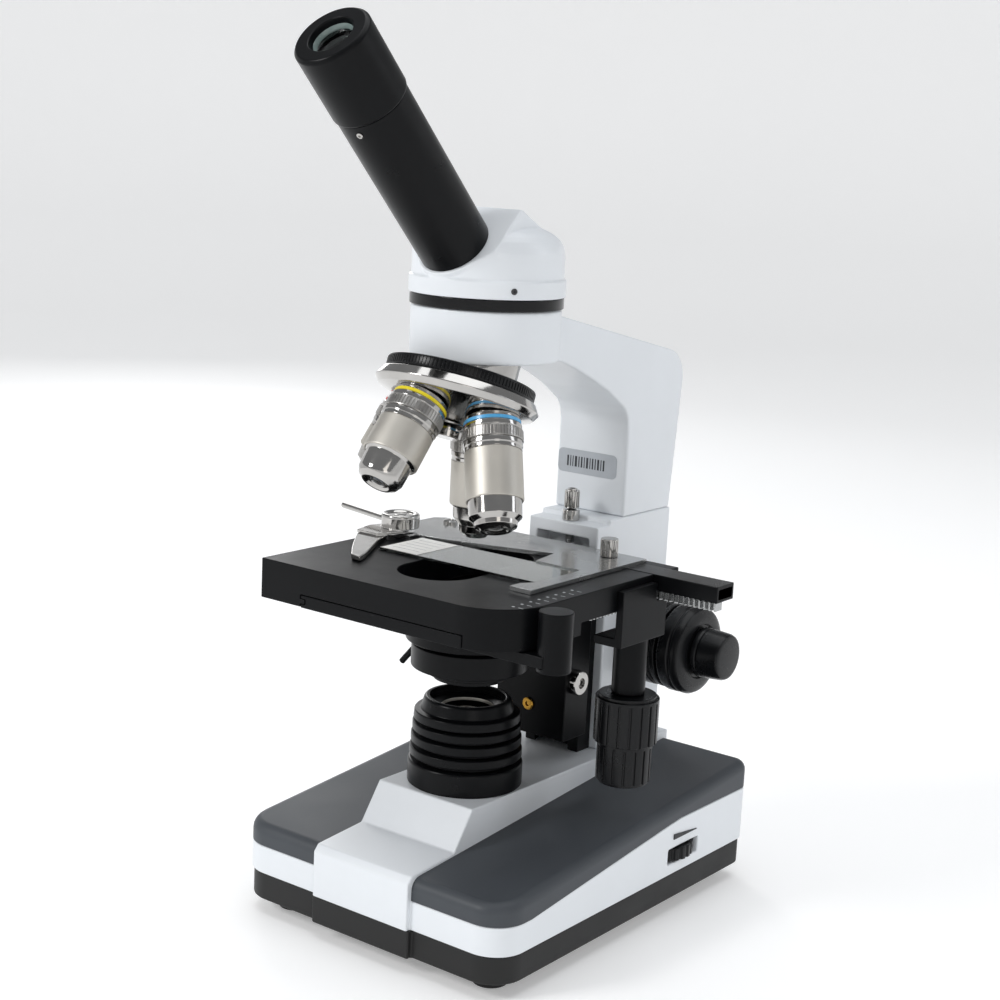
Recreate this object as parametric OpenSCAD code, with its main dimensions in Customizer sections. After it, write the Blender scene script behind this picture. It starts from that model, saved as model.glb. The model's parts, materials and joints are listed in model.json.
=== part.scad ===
// Upright monocular laboratory microscope with built-in lamp, inclined tube,
// four-place nosepiece, mechanical stage and coaxial focusing.
// Frame: optical axis on Z, floor at z = 0, front of the stand towards -Y.
// Millimetres throughout.

/* [Base] */
// Width of the base across the side walls
base_width = 128.4; // [106:0.1:156]
// Distance from the optical axis to the front wall
base_front = 57.5; // [52:0.1:70]
// Distance from the optical axis to the rear wall
base_rear = 111; // [111:0.1:134]
// Radius of the two front corners
corner_front = 13; // [10:0.5:16]
// Radius of the two rear corners
corner_rear = 6; // [5:0.5:8]
// Height of the rubber feet
foot_height = 6; // [5:0.1:7.2]
// Height of the lower tray
tray_height = 10.8; // [9:0.1:13]
// Height of the seam under the covers at the front
seam_front = 27.8; // [26:0.1:30]
// Height of the seam under the covers at the rear
seam_rear = 39; // [37:0.1:42]
// Height of the covers at the front
cover_front = 36.3; // [34:0.1:38]
// Height of the covers at the rear
cover_rear = 50.9; // [48:0.1:53]
// Wall thickness of the mouldings
shell_wall = 2.6; // [2.2:0.1:3.1]
// Width of the raised centre panel
panel_width = 46; // [42:0.1:52]
// How far the centre panel stands proud of the front wall
panel_proud = 2.2; // [1.5:0.1:3]
// Height of the lamp platform
platform_height = 53.5; // [53.5:0.1:53.5]

/* [Lamp] */
// Radius of the lamp housing at its foot
lamp_radius = 22.3; // [18.6:0.1:22.9]
// Height of the lamp housing
lamp_height = 33.9; // [29:0.1:38]
// Radial depth of the fins, from the foot to the opening at the top
lamp_wall = 7.7; // [7.2:0.1:8.2]

/* [Stand] */
// Half width of the arm and the pedestal
arm_half = 17; // [16:0.1:20.4]
// Front face of the column above the pedestal
column_front = 75; // [74:0.1:78]
// Rear face of the pedestal
pedestal_rear = 110.5; // [108:0.1:111]
// Front face of the pedestal
pedestal_front = 66; // [66:0.1:66]
// Height of the seam between pedestal and arm
pedestal_top = 150; // [150:0.1:155]
// Radius of the head socket
socket_radius = 28; // [26:0.1:33]
// Height of the lower face of the socket
socket_low = 218.2; // [218.2:0.1:222]
// Height of the upper face of the socket
socket_high = 237.5; // [237.5:0.1:237.5]

/* [Head and tube] */
// Angle of the viewing tube above the horizontal
tube_angle = 45; // [45:0.5:48]
// Height where the tube axis meets the optical axis
tube_cross = 239.6; // [239.6:0.1:239.6]
// Outer radius of the viewing tube
tube_radius = 13.3; // [12.8:0.1:16]
// Distance along the tube axis to the eyepiece shoulder
tube_end = 96.7; // [80.6:0.1:116]
// Bore radius of the viewing tube
tube_bore = 11.65; // [11.6:0.01:11.8]
// Radius of the eyepiece barrel
eyepiece_radius = 13.9; // [13.4:0.1:16.7]
// Length of the eyepiece above its shoulder
eyepiece_length = 28.5; // [24:0.1:34.2]

/* [Nosepiece] */
// Tilt of the nosepiece axis
turret_tilt = 20; // [20:0.5:20]
// Radius of the circle of seats
seat_circle = 18.5; // [18.2:0.1:19.2]
// Height of the working seat
seat_height = 192.5; // [192.5:0.1:192.5]
// Outer radius of the grip ring
grip_radius = 28; // [27.4:0.1:30]
// Pivot pin radius
pivot_radius = 4; // [3.5:0.05:4.4]

/* [Objectives] */
// Radius of the knurled collar of an objective
collar_radius = 11.1; // [10.4:0.1:12]
// Length of the lowest-power objective
length_4x = 27; // [22.5:0.1:32.4]
// Length of the second objective
length_10x = 36.5; // [30.4:0.1:41]
// Length of the third objective
length_40x = 42; // [35:0.1:43]
// Length of the highest-power objective
length_100x = 42.5; // [35.4:0.1:43]

/* [Stage] */
// Width of the stage plate
stage_width = 115; // [114.4:0.1:116]
// Front edge of the stage plate
stage_front = 55.5; // [48:0.1:64]
// Rear edge of the stage plate
stage_rear = 54; // [52.5:0.1:54.6]
// Height of the stage surface
stage_top = 140; // [140:0.1:140]
// Thickness of the moving stage plate
plate_thick = 10.4; // [10.4:0.1:10.4]
// Thickness of the fixed stage layer
stage_layer = 4.8; // [4.8:0.1:4.8]
// Radius of the large front corner
stage_corner = 22; // [16:0.5:26]
// Half width of the light slot
slot_radius = 15.5; // [13:0.1:17]
// Length of the specimen slide
slide_length = 76; // [72:0.1:78]
// Width of the specimen slide
slide_width = 26; // [25:0.1:27]

/* [Drives] */
// Tooth size of the stage drives
stage_module = 0.7; // [0.7:0.1:0.7]
// Teeth on each stage pinion
stage_teeth = 12; // [12:1:12]
// Tooth size of the focus drive
focus_module = 1; // [1:0.1:1]
// Teeth on the focus pinion
focus_teeth = 14; // [14:1:14]
// Radius of the outer focus shaft
coarse_shaft_radius = 5; // [4.2:0.05:5.2]
// Radius of the inner focus shaft
fine_shaft_radius = 3; // [2.5:0.05:3.6]
// Radius of the coarse focus knobs
coarse_radius = 18.3; // [15.3:0.1:22]
// Radius of the fine focus knobs
fine_radius = 10.3; // [8.6:0.1:12.4]
// Radius of the upper stage knob
y_knob_radius = 12.3; // [10.3:0.1:14.7]
// Radius of the lower stage knob
x_knob_radius = 10.6; // [8.9:0.1:12.7]

/* [Clearances] */
// Radial gap of a shaft in its bore
running_gap = 0.06; // [0.04:0.01:0.1]
// Gap between flat sliding faces
slide_gap = 0.15; // [0.1:0.01:0.25]
// Gap between separate moving parts
part_gap = 0.3; // [0.3:0.05:0.5]
// Play between meshing teeth
tooth_play = 0.16; // [0.12:0.01:0.24]

/* [Hidden] */
$fn = 64;
e = 0.01;
half = base_width / 2;
lamp_mouth = lamp_radius - lamp_wall;
tray_low = foot_height;
tray_top = foot_height + tray_height;
tray_floor = tray_low + shell_wall;
panel_half = panel_width / 2;
panel_face = -base_front - panel_proud;
ramp_foot = -33.5;
ramp_head = -23.6;
panel_low = 37.2;
panel_high = 39.1;
cover_slope = (cover_rear - cover_front) / (base_rear + base_front);

carriage_low = 62.5;
carriage_top = 118;
carriage_front = 41;
carriage_rear = 57;
guide_front = carriage_rear + part_gap;
guide_half = 13.2;
guide_top = 133;
shelf_top = 148;
shelf_front = 57.3;

shaft_y = 92;
shaft_z = 97;
collar_x = arm_half + part_gap + 0.1;
collar_length = 18.2;
coarse_x = collar_x + collar_length + part_gap + 0.1;
coarse_step = coarse_x + 6;
coarse_end = coarse_x + 12;
fine_x = coarse_end + part_gap + 0.1;
fine_end = fine_x + 12.6;
focus_r = focus_module * focus_teeth / 2;
rack_line = shaft_y - focus_r;

plate_low = stage_top - plate_thick;
layer_top = plate_low - part_gap;
layer_low = layer_top - stage_layer;
plate_half = stage_width / 2;
skirt_left = -37.5;
skirt_right = 39;
slot_front = -21;
slot_rear = 12;
bar_front = 36;
bar_rear = 48;
bar_low = stage_top - 6;
bar_top = stage_top + slide_gap;
bar_end = 85.5;
stage_r = stage_module * stage_teeth / 2;
knob_x = 52.2;
knob_y = bar_front - stage_r;
y_rack_line = knob_x - stage_r;
pinion_x_low = 131;
pinion_y_low = layer_low + 0.6;
x_shaft_r = 2;
y_shaft_r = 3.1;
bracket_low = 116;
sleeve_low = 93.8;

frame_top = bar_top + 1.6;
clip_x = -50;
clip_y = 15;

seat_y = -seat_circle * cos(turret_tilt);
seat_z = seat_height + seat_circle * sin(turret_tilt);
turret_top = 14.6;
head_low = socket_high + 4.3;
ring_high = 248.2;
face_sum = 280;
ridge_z = 273.5;
ridge_y = ridge_z - face_sum;
rear_slope = 0.537;
tube_start = (face_sum - tube_cross) / sqrt(2);

arm_rear = 114.4;
front_reach = (tube_end + eyepiece_length - 1.2) * sin(tube_angle)
    + eyepiece_radius * cos(tube_angle);
frame_shift = (arm_rear - front_reach) / 2;
wheel_r = 14.5;
wheel_x = half + 1.9 - wheel_r;
rocker_y = base_rear - 1.8;
rocker_z = 27.8;

white = "#e4e8ec";
grey = "#43484d";
black = "#17191b";
steel = "#b9bcc0";
chrome = "#d9dce0";
glass = "#bcd0d4";
brass = "#b38b4a";

// ---------- shared shapes ----------

// from the optical axis to the frame of the whole part
module place() {
    translate([0, -frame_shift, 0]) children();
}

// block between two corner points
module block(a, b) {
    translate(a) cube([b[0] - a[0], b[1] - a[1], b[2] - a[2]]);
}

// upright block with its own radius at the two front and two rear corners
module plan_block(x0, x1, y0, y1, rf, rr, z0, z1) {
    translate([0, 0, z0]) {
        block([x0 + rf, y0, 0], [x1 - rf, y1 - rr, z1 - z0]);
        block([x0, y0 + rf, 0], [x1, y1 - rr, z1 - z0]);
        block([x0 + rr, y0 + rf, 0], [x1 - rr, y1, z1 - z0]);
        for (x = [x0 + rf, x1 - rf]) translate([x, y0 + rf, 0]) cylinder(r = rf, h = z1 - z0);
        for (x = [x0 + rr, x1 - rr]) translate([x, y1 - rr, 0]) cylinder(r = rr, h = z1 - z0);
    }
}

// side profile given as [y, z] points, extruded across x
module across(x0, x1, pts) {
    translate([x0, 0, 0]) rotate([90, 0, 90]) linear_extrude(height = x1 - x0) polygon(pts);
}

// cylinder along X from x0 to x1
module along_x(r, x0, x1, y, z) {
    translate([x0, y, z]) rotate([0, 90, 0]) cylinder(r = r, h = x1 - x0);
}

// upright cylinder
module post(r, z0, z1, x = 0, y = 0) {
    translate([x, y, z0]) cylinder(r = r, h = z1 - z0);
}

// points of an arc
function arc(cx, cy, r, a0, a1, n) =
    [for (i = [0:n]) let (a = a0 + (a1 - a0) * i / n) [cx + r * cos(a), cy + r * sin(a)]];

function inv(a) = tan(a) * 180 / PI - a;

// half angle of a 20 degree involute tooth at radius rho
function flank(n, r, rho, play) =
    let (rb = r * cos(20), al = rho > rb ? acos(rb / rho) : 0)
    90 / n - play / (2 * r) * 180 / PI + inv(20) - inv(al);

module gear2d(n, m, play) {
    r = n * m / 2;
    root = r - 1.25 * m;
    tip = r + 0.9 * m;
    steps = 4;
    low = max(root, r * cos(20) + e);
    polygon([for (t = [0:n - 1]) each concat(
        [for (i = [0:steps]) let (rho = low + (tip - low) * i / steps,
            a = t * 360 / n - flank(n, r, rho, play)) [rho * cos(a), rho * sin(a)]],
        [for (i = [steps:-1:0]) let (rho = low + (tip - low) * i / steps,
            a = t * 360 / n + flank(n, r, rho, play)) [rho * cos(a), rho * sin(a)]],
        [for (side = [-1, 1]) let (gap = 180 / n - flank(n, r, low, play),
            a = t * 360 / n + 180 / n + side * gap * 0.9) [root * cos(a), root * sin(a)]])]);
}

// rack teeth along x with the pitch line on y = 0 and the teeth towards -y
module rack2d(n0, n1, m, play, back) {
    p = PI * m;
    tw = p / 4 - play / 4;
    a = m * 0.9;
    d = 1.25 * m;
    polygon(concat([[n0 * p - p / 2, back], [n0 * p - p / 2, d]],
        [for (i = [n0:n1]) each [
            [i * p - tw - d * tan(20), d],
            [i * p - tw + a * tan(20), -a],
            [i * p + tw - a * tan(20), -a],
            [i * p + tw + d * tan(20), d]]],
        [[n1 * p + p / 2, d], [n1 * p + p / 2, back]]));
}

// local frame of the nosepiece: z along its axis, working seat towards +y
module at_turret() {
    translate([0, seat_y, seat_z]) rotate([-turret_tilt, 0, 0]) children();
}

// local frame of one seat: the objective hangs towards -z
module at_seat(turn) {
    at_turret() rotate([0, 0, turn]) translate([0, seat_circle, 0])
        rotate([turret_tilt, 0, 0]) children();
}

// local frame of the tube: z along the tube, towards the eye
module at_tube() {
    translate([0, 0, tube_cross]) rotate([tube_angle, 0, 0]) children();
}

// the volume below the seam of the covers
module below_seam(drop) {
    across(-half - 5, half + 5, [[-base_front - 9, -5], [-base_front - 9, seam_front - drop],
        [-40, seam_front + 0.4 - drop], [50, seam_rear - 0.8 - drop],
        [58, seam_rear - drop], [base_rear + 5, seam_rear - drop], [base_rear + 5, -5]]);
}

// ---------- base ----------

screw_spots = [[-half + 16, -base_front + 16], [half - 16, -base_front + 16],
    [-half + 16, base_rear - 16], [half - 16, base_rear - 16]];

module base_tray() color(black) place() {
    difference() {
        union() {
            plan_block(-half + 0.6, half - 0.6, -base_front + 0.5, base_rear - 0.6,
                corner_front, corner_rear, tray_low, tray_top);
            block([-panel_half - 0.6, panel_face + 0.5, tray_low],
                [panel_half + 0.6, -base_front + 8, tray_top]);
        }
        plan_block(-half + 0.6 + shell_wall, half - 0.6 - shell_wall,
            -base_front + 0.5 + shell_wall, base_rear - 0.6 - shell_wall,
            corner_front - 3, corner_rear - 3, tray_floor, tray_top + 1);
        for (p = screw_spots) {
            post(3, tray_low - 1, tray_floor + 1, p[0], p[1]);
        }
        for (x = [-10, 10]) for (y = [78, 100]) post(3, tray_low - 1, tray_floor + 1, x, y);
    }
    for (x = [-52, -31]) for (y = [-12, 52]) post(2.5, tray_floor, 12, x, y);
}

module rubber_feet() color(black) place() {
    for (p = screw_spots) translate([p[0], p[1], 0]) difference() {
        union() {
            cylinder(r1 = 6.6, r2 = 7.6, h = foot_height);
            cylinder(r = 3, h = tray_floor);
        }
        post(3.4, -1, 2.5);
        post(1.5, -1, tray_floor + 1);
    }
}

module base_screws() color(steel) place() {
    for (p = screw_spots) {
        post(3, 1.2, 2.5, p[0], p[1]);
        post(1.5, 2.5, seam_front - 4, p[0], p[1]);
    }
    for (x = [-10, 10]) for (y = [78, 100]) {
        post(4, platform_height - 6.2, platform_height - 3, x, y);
        post(2.2, platform_height - 3, platform_height + 9, x, y);
    }
}

module base_housing() color(white) place() {
    difference() {
        union() {
            difference() {
                intersection() {
                    plan_block(-half, half, -base_front, base_rear,
                        corner_front, corner_rear, tray_top, seam_rear + 5);
                    below_seam(0);
                }
                plan_block(-half + shell_wall, half - shell_wall, -base_front + shell_wall,
                    base_rear - shell_wall, corner_front - shell_wall,
                    corner_rear - shell_wall, tray_top - 1, seam_rear + 6);
            }
            across(-panel_half, panel_half, [[panel_face, tray_top], [panel_face, panel_low - 2.6],
                [panel_face + 2.2, panel_low], [ramp_foot, panel_high],
                [ramp_head, platform_height], [base_rear, platform_height],
                [base_rear, tray_top]]);
            for (p = screw_spots) {
                s = sign(p[0]);
                post(3.6, tray_top, seam_front - 2.5, p[0], p[1]);
                block([min(p[0], s * (half - 1)), p[1] - 1.2, tray_top],
                    [max(p[0], s * (half - 1)), p[1] + 1.2, seam_front - 3]);
            }
            block([27, base_rear - 9, 18.5], [49, base_rear - 1, 37]);
        }
        across(-panel_half + shell_wall, panel_half - shell_wall, [
            [panel_face + shell_wall, tray_top - 1], [panel_face + shell_wall, panel_low - 3.4],
            [panel_face + 4.2, panel_low - 2.8], [ramp_foot + 1.4, panel_high - 2.8],
            [ramp_head + 1.4, platform_height - 3], [base_rear - shell_wall, platform_height - 3],
            [base_rear - shell_wall, tray_top - 1]]);
        for (p = screw_spots) post(1.5, tray_top - 1, seam_front - 4, p[0], p[1]);
        post(12.4, platform_height - 4, platform_height + 1);
        for (x = [-10, 10]) for (y = [78, 100]) post(2.2, platform_height - 4, platform_height + 1, x, y);
        block([half - 4, 50, 21.3], [half + 1, 72, 27.7]);
        block([-50, base_rear - 5, 18.4], [-24, base_rear + 1, 36.6]);
        block([29.6, base_rear - 7, 20.4], [46.4, base_rear + 1, 35.2]);
        block([33.4, base_rear - 10, 24], [42.6, base_rear - 5, 31.6]);
        along_x(1.2 + running_gap, 28.2, 47.8, rocker_y, rocker_z);
    }
}

module cover_half(s) {
    inner = panel_half;
    difference() {
        intersection() {
            plan_block(-half, half, -base_front, base_rear, corner_front, corner_rear,
                seam_front - 3, cover_rear + 5);
            block([s > 0 ? inner : -half - 1, -base_front - 2, 0],
                [s > 0 ? half + 1 : -inner, base_rear + 2, cover_rear + 5]);
            across(-half - 5, half + 5, [[-base_front, seam_front - 5],
                [-base_front, cover_front - 3], [-base_front + 3, cover_front + 3 * cover_slope],
                [base_rear - 3, cover_rear - 3 * cover_slope], [base_rear, cover_rear - 3.2],
                [base_rear, seam_front - 5]]);
            translate([0, base_rear + 1, 0]) rotate([90, 0, 0])
                rotate([atan(cover_slope) * 0, 0, 0])
                linear_extrude(height = base_rear + base_front + 2)
                polygon([[-half - 1, 0], [-half - 1, cover_rear + 6], [half + 1, cover_rear + 6],
                    [half + 1, 0]]);
        }
        below_seam(0);
        intersection() {
            plan_block(-half + shell_wall, half - shell_wall, -base_front + shell_wall,
                base_rear - shell_wall, corner_front - shell_wall, corner_rear - shell_wall,
                0, cover_rear + 6);
            block([s > 0 ? inner + shell_wall : -half, -base_front, 0],
                [s > 0 ? half : -inner - shell_wall, base_rear, cover_rear + 6]);
            across(-half - 5, half + 5, [[-base_front, 0],
                [-base_front, cover_front - shell_wall],
                [base_rear, cover_rear - shell_wall], [base_rear, 0]]);
        }
    }
}

module left_top_shell() color(grey) place() cover_half(-1);

module right_top_shell() color(grey) place() cover_half(1);

module rheostat_wheel() color(black) place() {
    difference() {
        post(wheel_r, 22, 27, wheel_x, 61);
        post(3, 21, 28, wheel_x, 61);
        for (i = [0:23]) translate([wheel_x, 61, 0]) rotate([0, 0, i * 15])
            translate([wheel_r + 0.2, 0, 21]) cylinder(r = 0.9, h = 7, $fn = 14);
    }
}

module rheostat_body() color(steel) place() {
    x = wheel_x;
    block([x - 10, 50, tray_floor], [x + 9, 72, 18]);
    post(6, 18, 20.5, x, 61);
    post(3 - running_gap, 20.5, 28.5, x, 61);
}

module circuit_board() color("#2f6b3c") place() {
    block([-56, -16, 12], [-27, 56, 13.6]);
    block([-52, 8, 13.6], [-32, 34, 30]);
    post(5, 13.6, 26, -46, 46);
    post(4, 13.6, 22, -34, -6);
    block([-52, -10, 13.6], [-44, 0, 17]);
}

module power_inlet() color(black) place() {
    difference() {
        union() {
            block([-50, base_rear - 11.5, 18.4], [-24, base_rear, 36.6]);
            block([-52, base_rear, 17.2], [-23.2, base_rear + 1.6, 37.8]);
        }
        block([-48, base_rear - 10, 20.6], [-26, base_rear + 2, 34.4]);
    }
    for (x = [-43, -37, -31]) block([x - 0.8, base_rear - 10.5, x == -37 ? 29 : 27.5],
        [x + 0.8, base_rear - 4.5, x == -37 ? 33 : 31.5]);
}

module rocker_switch() color(black) place() {
    along_x(1.2, 28.5, 47.5, rocker_y, rocker_z);
    translate([0, rocker_y, rocker_z]) rotate([8, 0, 0])
        across(30, 46, [[-2.2, -6.2], [3.2, -6.9], [2.2, 0], [3.2, 6.9], [-2.2, 6.2]]);
}

// ---------- lamp ----------

module lamp_housing() color(black) place() translate([0, 0, platform_height]) rotate_extrude() polygon([
    [lamp_mouth, 0], [lamp_radius, 0], [lamp_radius, 8.6], [lamp_radius - 0.6, 9.2],
    [lamp_radius - 3.6, 9.2], [lamp_radius - 3.6, 11],
    [lamp_radius - 0.5, 11], [lamp_radius - 0.5, 14.4], [lamp_radius - 3.9, 14.4],
    [lamp_radius - 3.9, 16], [lamp_radius - 0.9, 16], [lamp_radius - 0.9, 19.4],
    [lamp_radius - 4.2, 19.4], [lamp_radius - 4.2, 20.8], [lamp_radius - 1.3, 20.8],
    [lamp_radius - 1.3, 24], [lamp_radius - 4.6, 24], [lamp_radius - 4.6, 25.2],
    [lamp_radius - 1.6, 25.2], [lamp_radius - 1.9, 28.6], [lamp_mouth + 3.4, 29],
    [lamp_mouth + 2.2, lamp_height - 0.6], [lamp_mouth + 1.5, lamp_height],
    [lamp_mouth, lamp_height], [lamp_mouth, 24], [lamp_mouth - 2, 24], [lamp_mouth - 2, 22.6],
    [lamp_mouth, 22.6]]);

module collector_lens() color(glass) place() translate([0, 0, platform_height + 24]) rotate_extrude()
    polygon(concat([[0, 0], [lamp_mouth, 0], [lamp_mouth, 2]],
        [for (i = [1:6]) [lamp_mouth * (1 - i / 6), 2 + 2.6 * sin(90 * i / 6)]]));

module lamp_socket() color("#d8d4c8") place() {
    difference() {
        union() {
            post(12.3, platform_height - 3, platform_height, 0, 0);
            post(9, platform_height - 12, platform_height + 2);
        }
        for (x = [-3, 3]) post(0.8, platform_height - 4, platform_height + 3, x);
    }
}

module lamp_bulb() color(glass) place() {
    for (x = [-3, 3]) post(0.7, platform_height - 4, platform_height + 4, x);
    post(5.4, platform_height + 2, platform_height + 8);
    translate([0, 0, platform_height + 8]) cylinder(r1 = 5.4, r2 = 3, h = 9);
}

// ---------- stand ----------

module pedestal() color(white) place() {
    difference() {
        union() {
            block([-arm_half, pedestal_front, platform_height],
                [arm_half, pedestal_rear, pedestal_top]);
            block([-arm_half, shelf_front, shelf_top - 5], [arm_half, column_front, shelf_top]);
            for (x = [-arm_half, arm_half - 4.2])
                block([x, shelf_front, shelf_top - 14.4], [x + 4.2, pedestal_front + 1, shelf_top]);
        }
        block([-6.6, pedestal_front - 1, 69], [6.6, shaft_y + 10, 129]);
        along_x(9, -arm_half - 1, arm_half + 1, shaft_y, shaft_z);
        post(2, shelf_top - 6, shelf_top + 1, 0, 62.5);
        for (x = [-10, 10]) {
            for (y = [78, 100]) post(2.2, platform_height - 1, platform_height + 9, x, y);
        }
        for (y = [84, 102]) post(2.2, pedestal_top - 12, pedestal_top + 1, 0, y);
    }
}

module shaft_bushes() color(brass) place() {
    for (s = [-1, 1]) difference() {
        along_x(9, s > 0 ? 6.6 : -arm_half, s > 0 ? arm_half : -6.6, shaft_y, shaft_z);
        along_x(coarse_shaft_radius + running_gap, s > 0 ? 6 : -arm_half - 1,
            s > 0 ? arm_half + 1 : -6, shaft_y, shaft_z);
    }
}

module dovetail_guide() color(black) place() {
    difference() {
        block([-guide_half, guide_front, platform_height + 0.1],
            [guide_half, pedestal_front, guide_top]);
        translate([0, 0, platform_height]) linear_extrude(height = 90)
            polygon([[-7.7 - 0.3, guide_front - 1], [7.7 + 0.3, guide_front - 1],
                [7.9 + 0.3, guide_front], [9.9 + 0.3, 63.1], [-9.9 - 0.3, 63.1],
                [-7.9 - 0.3, guide_front]]);
        block([-5, 62, 69], [5, pedestal_front + 1, guide_top + 1]);
    }
}

module arm() color(white) place() {
    y0 = 12;
    cr = 13;
    difference() {
        union() {
            across(-arm_half, arm_half, concat(
                [[y0, socket_low], [26, socket_low - 1.7], [36, 213.2], [50, 207.2],
                    [60, 202.3]],
                arc(column_front - 11.3, 187, 11, 48, 4, 6),
                [[column_front, 180], [column_front, pedestal_top],
                    [pedestal_rear - 1, pedestal_top]],
                arc(114.4 - cr, 204, cr, -4, 77, 10),
                [[24, 234.1], [y0, 236.4]]));
            post(socket_radius, socket_low, socket_high);
        }
        post(20 + running_gap, 226, socket_high + 1);
        post(13, socket_low - 1, 227);
        difference() {
            post(socket_radius + 0.9, socket_low + 0.6, socket_high - 1.6);
            post(socket_radius, socket_low, socket_high);
            block([-arm_half + 3, 0, socket_low - 1], [arm_half - 3, 40, socket_high + 1]);
        }
        at_turret() translate([0, 0, -2]) cylinder(r = grip_radius + 1.5, h = turret_top + 2.6);
        for (y = [84, 102]) post(2.2, pedestal_top - 1, pedestal_top + 14, 0, y);
    }
}

module turret_mount() color(steel) place() {
    difference() {
        intersection() {
            at_turret() translate([0, 0, turret_top + part_gap]) cylinder(r = 20, h = 20);
            block([-30, -24, 180], [30, 30, socket_low]);
        }
        post(6.5, 190, socket_low + 1);
    }
    at_turret() {
        translate([0, 0, -7]) cylinder(r = pivot_radius, h = 7 + turret_top + 1);
        translate([0, 0, -9.6]) cylinder(r = pivot_radius + 2, h = 2.8);
    }
}

module head_ring() color(black) place() difference() {
    post(socket_radius + 0.6, socket_high, head_low - 0.1);
    post(20 + running_gap, socket_high - 1, head_low + 1);
}

module stop_screw() color(chrome) place() {
    difference() {
        union() {
            post(3.05, 152.9, 161.1, 0, 62.5);
            post(2 - running_gap, 138.6, 153, 0, 62.5);
        }
        post(1.1, 160, 162, 0, 62.5);
    }
}

module stop_lock_nut() color(chrome) place() difference() {
    post(3.5, shelf_top + 0.1, 152.4, 0, 62.5);
    post(2, shelf_top - 1, 153, 0, 62.5);
}

// ---------- focusing ----------

module coarse_shaft() color(steel) place() difference() {
    union() {
        along_x(coarse_shaft_radius, -coarse_step, coarse_step, shaft_y, shaft_z);
        translate([-5, shaft_y, shaft_z]) rotate([0, 90, 0])
            rotate([0, 0, 90 + 180 / focus_teeth])
            linear_extrude(height = 10) gear2d(focus_teeth, focus_module, tooth_play);
    }
    along_x(fine_shaft_radius + running_gap, -coarse_step - 1, coarse_step + 1, shaft_y, shaft_z);
}

module knob_body(r, hub, x0, x1, taper = 0) {
    translate([x0, shaft_y, shaft_z]) rotate([0, 90, 0]) rotate_extrude() polygon([
        [hub, 0], [r - 0.8, 0], [r, 0.8], [r - taper, x1 - x0 - 2.4],
        [r - taper - 0.7, x1 - x0 - 0.8], [r - taper - 2.2, x1 - x0], [hub, x1 - x0]]);
}

module coarse_knob_right() color(black) place() {
    knob_body(coarse_radius, coarse_shaft_radius, coarse_x, coarse_step);
    knob_body(coarse_radius, fine_shaft_radius + 0.5, coarse_step, coarse_end);
}

module coarse_knob_left() color(black) place() mirror([1, 0, 0]) {
    knob_body(coarse_radius, coarse_shaft_radius, coarse_x, coarse_step);
    knob_body(coarse_radius, fine_shaft_radius + 0.5, coarse_step, coarse_end);
    difference() {
        along_x(9.5, collar_x, coarse_x, shaft_y, shaft_z);
        along_x(coarse_shaft_radius, collar_x - 1, coarse_x + 1, shaft_y, shaft_z);
    }
}

module tension_collar() color(black) place() {
    difference() {
        translate([collar_x, shaft_y, shaft_z]) rotate([0, 90, 0]) rotate_extrude() polygon([
            [coarse_shaft_radius + running_gap, 0], [coarse_radius - 1.6, 0],
            [coarse_radius - 0.9, 0.7], [coarse_radius - 0.9, 13.6],
            [coarse_radius - 2.2, 14.2], [coarse_radius - 2.2, 15.4],
            [coarse_radius - 0.9, 16], [coarse_radius - 0.9, collar_length],
            [coarse_shaft_radius + running_gap, collar_length]]);
    }
}

module fine_shaft() color(steel) place() along_x(fine_shaft_radius, -fine_x - 7.6, fine_x + 7.6, shaft_y, shaft_z);

module fine_knob() difference() {
    knob_body(fine_radius, e, fine_x, fine_end, 0.5);
    along_x(fine_shaft_radius, fine_x - 1, fine_x + 7.6, shaft_y, shaft_z);
}

module fine_knob_right() color(black) place() fine_knob();

module fine_knob_left() color(black) place() mirror([1, 0, 0]) fine_knob();

module carriage() color(black) place() {
    difference() {
        union() {
            block([-arm_half, carriage_front, carriage_low], [arm_half, carriage_rear, carriage_top]);
            block([-24, 30, carriage_top - 0.5], [24, carriage_rear - 2, layer_low]);
            translate([0, 0, carriage_low]) linear_extrude(height = carriage_top - carriage_low)
                polygon([[-7.7, carriage_rear - 1], [7.7, carriage_rear - 1],
                    [7.9, guide_front], [9.7, 62.7], [-9.7, 62.7], [-7.9, guide_front]]);
        }
        for (x = [-19, 19]) post(1.6, carriage_top - 1, layer_low + 1, x, 38);
    }
}

module focus_rack() color(steel) place() {
    p = PI * focus_module;
    translate([0, rack_line, shaft_z]) rotate([0, 90, 0]) rotate([0, 0, 180])
        translate([0, 0, -4]) linear_extrude(height = 8)
        rack2d(-5, 6, focus_module, tooth_play, rack_line - 62.7);
    block([-4, carriage_rear, carriage_top], [4, 65.4, 129.7]);
}

// ---------- stage ----------

module stage_base() color(black) place() {
    difference() {
        union() {
            block([skirt_left + 0.2, -stage_front, layer_low], [skirt_right - 0.3, stage_rear, layer_top]);
            block([skirt_right - 1, 7, layer_low], [44, 42, layer_top]);
            block([28, -42, layer_low - 4.6], [38, -29, layer_low + 1]);
            block([28, -42, layer_low - 4.6], [64, -29, layer_low - 0.2]);
            post(6.2, layer_low - 6.3, stage_top - 0.3, 64.2, -35.5);
        }
        for (y = [-17, 10]) post(19, layer_low - 1, layer_top + 1, 0, y);
        block([-19, -17, layer_low - 1], [19, 10, layer_top + 1]);
        block([skirt_left - 1, -stage_front - 1, 126], [skirt_left + 2.6, stage_rear + 1, 128]);
        for (x = [-19, 19]) post(1.6, layer_low - 1, layer_top + 1, x, 38);
    }
    for (x = [-19, 19]) post(1.6, carriage_top - 1, layer_top - 1, x, 38);
}

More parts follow.
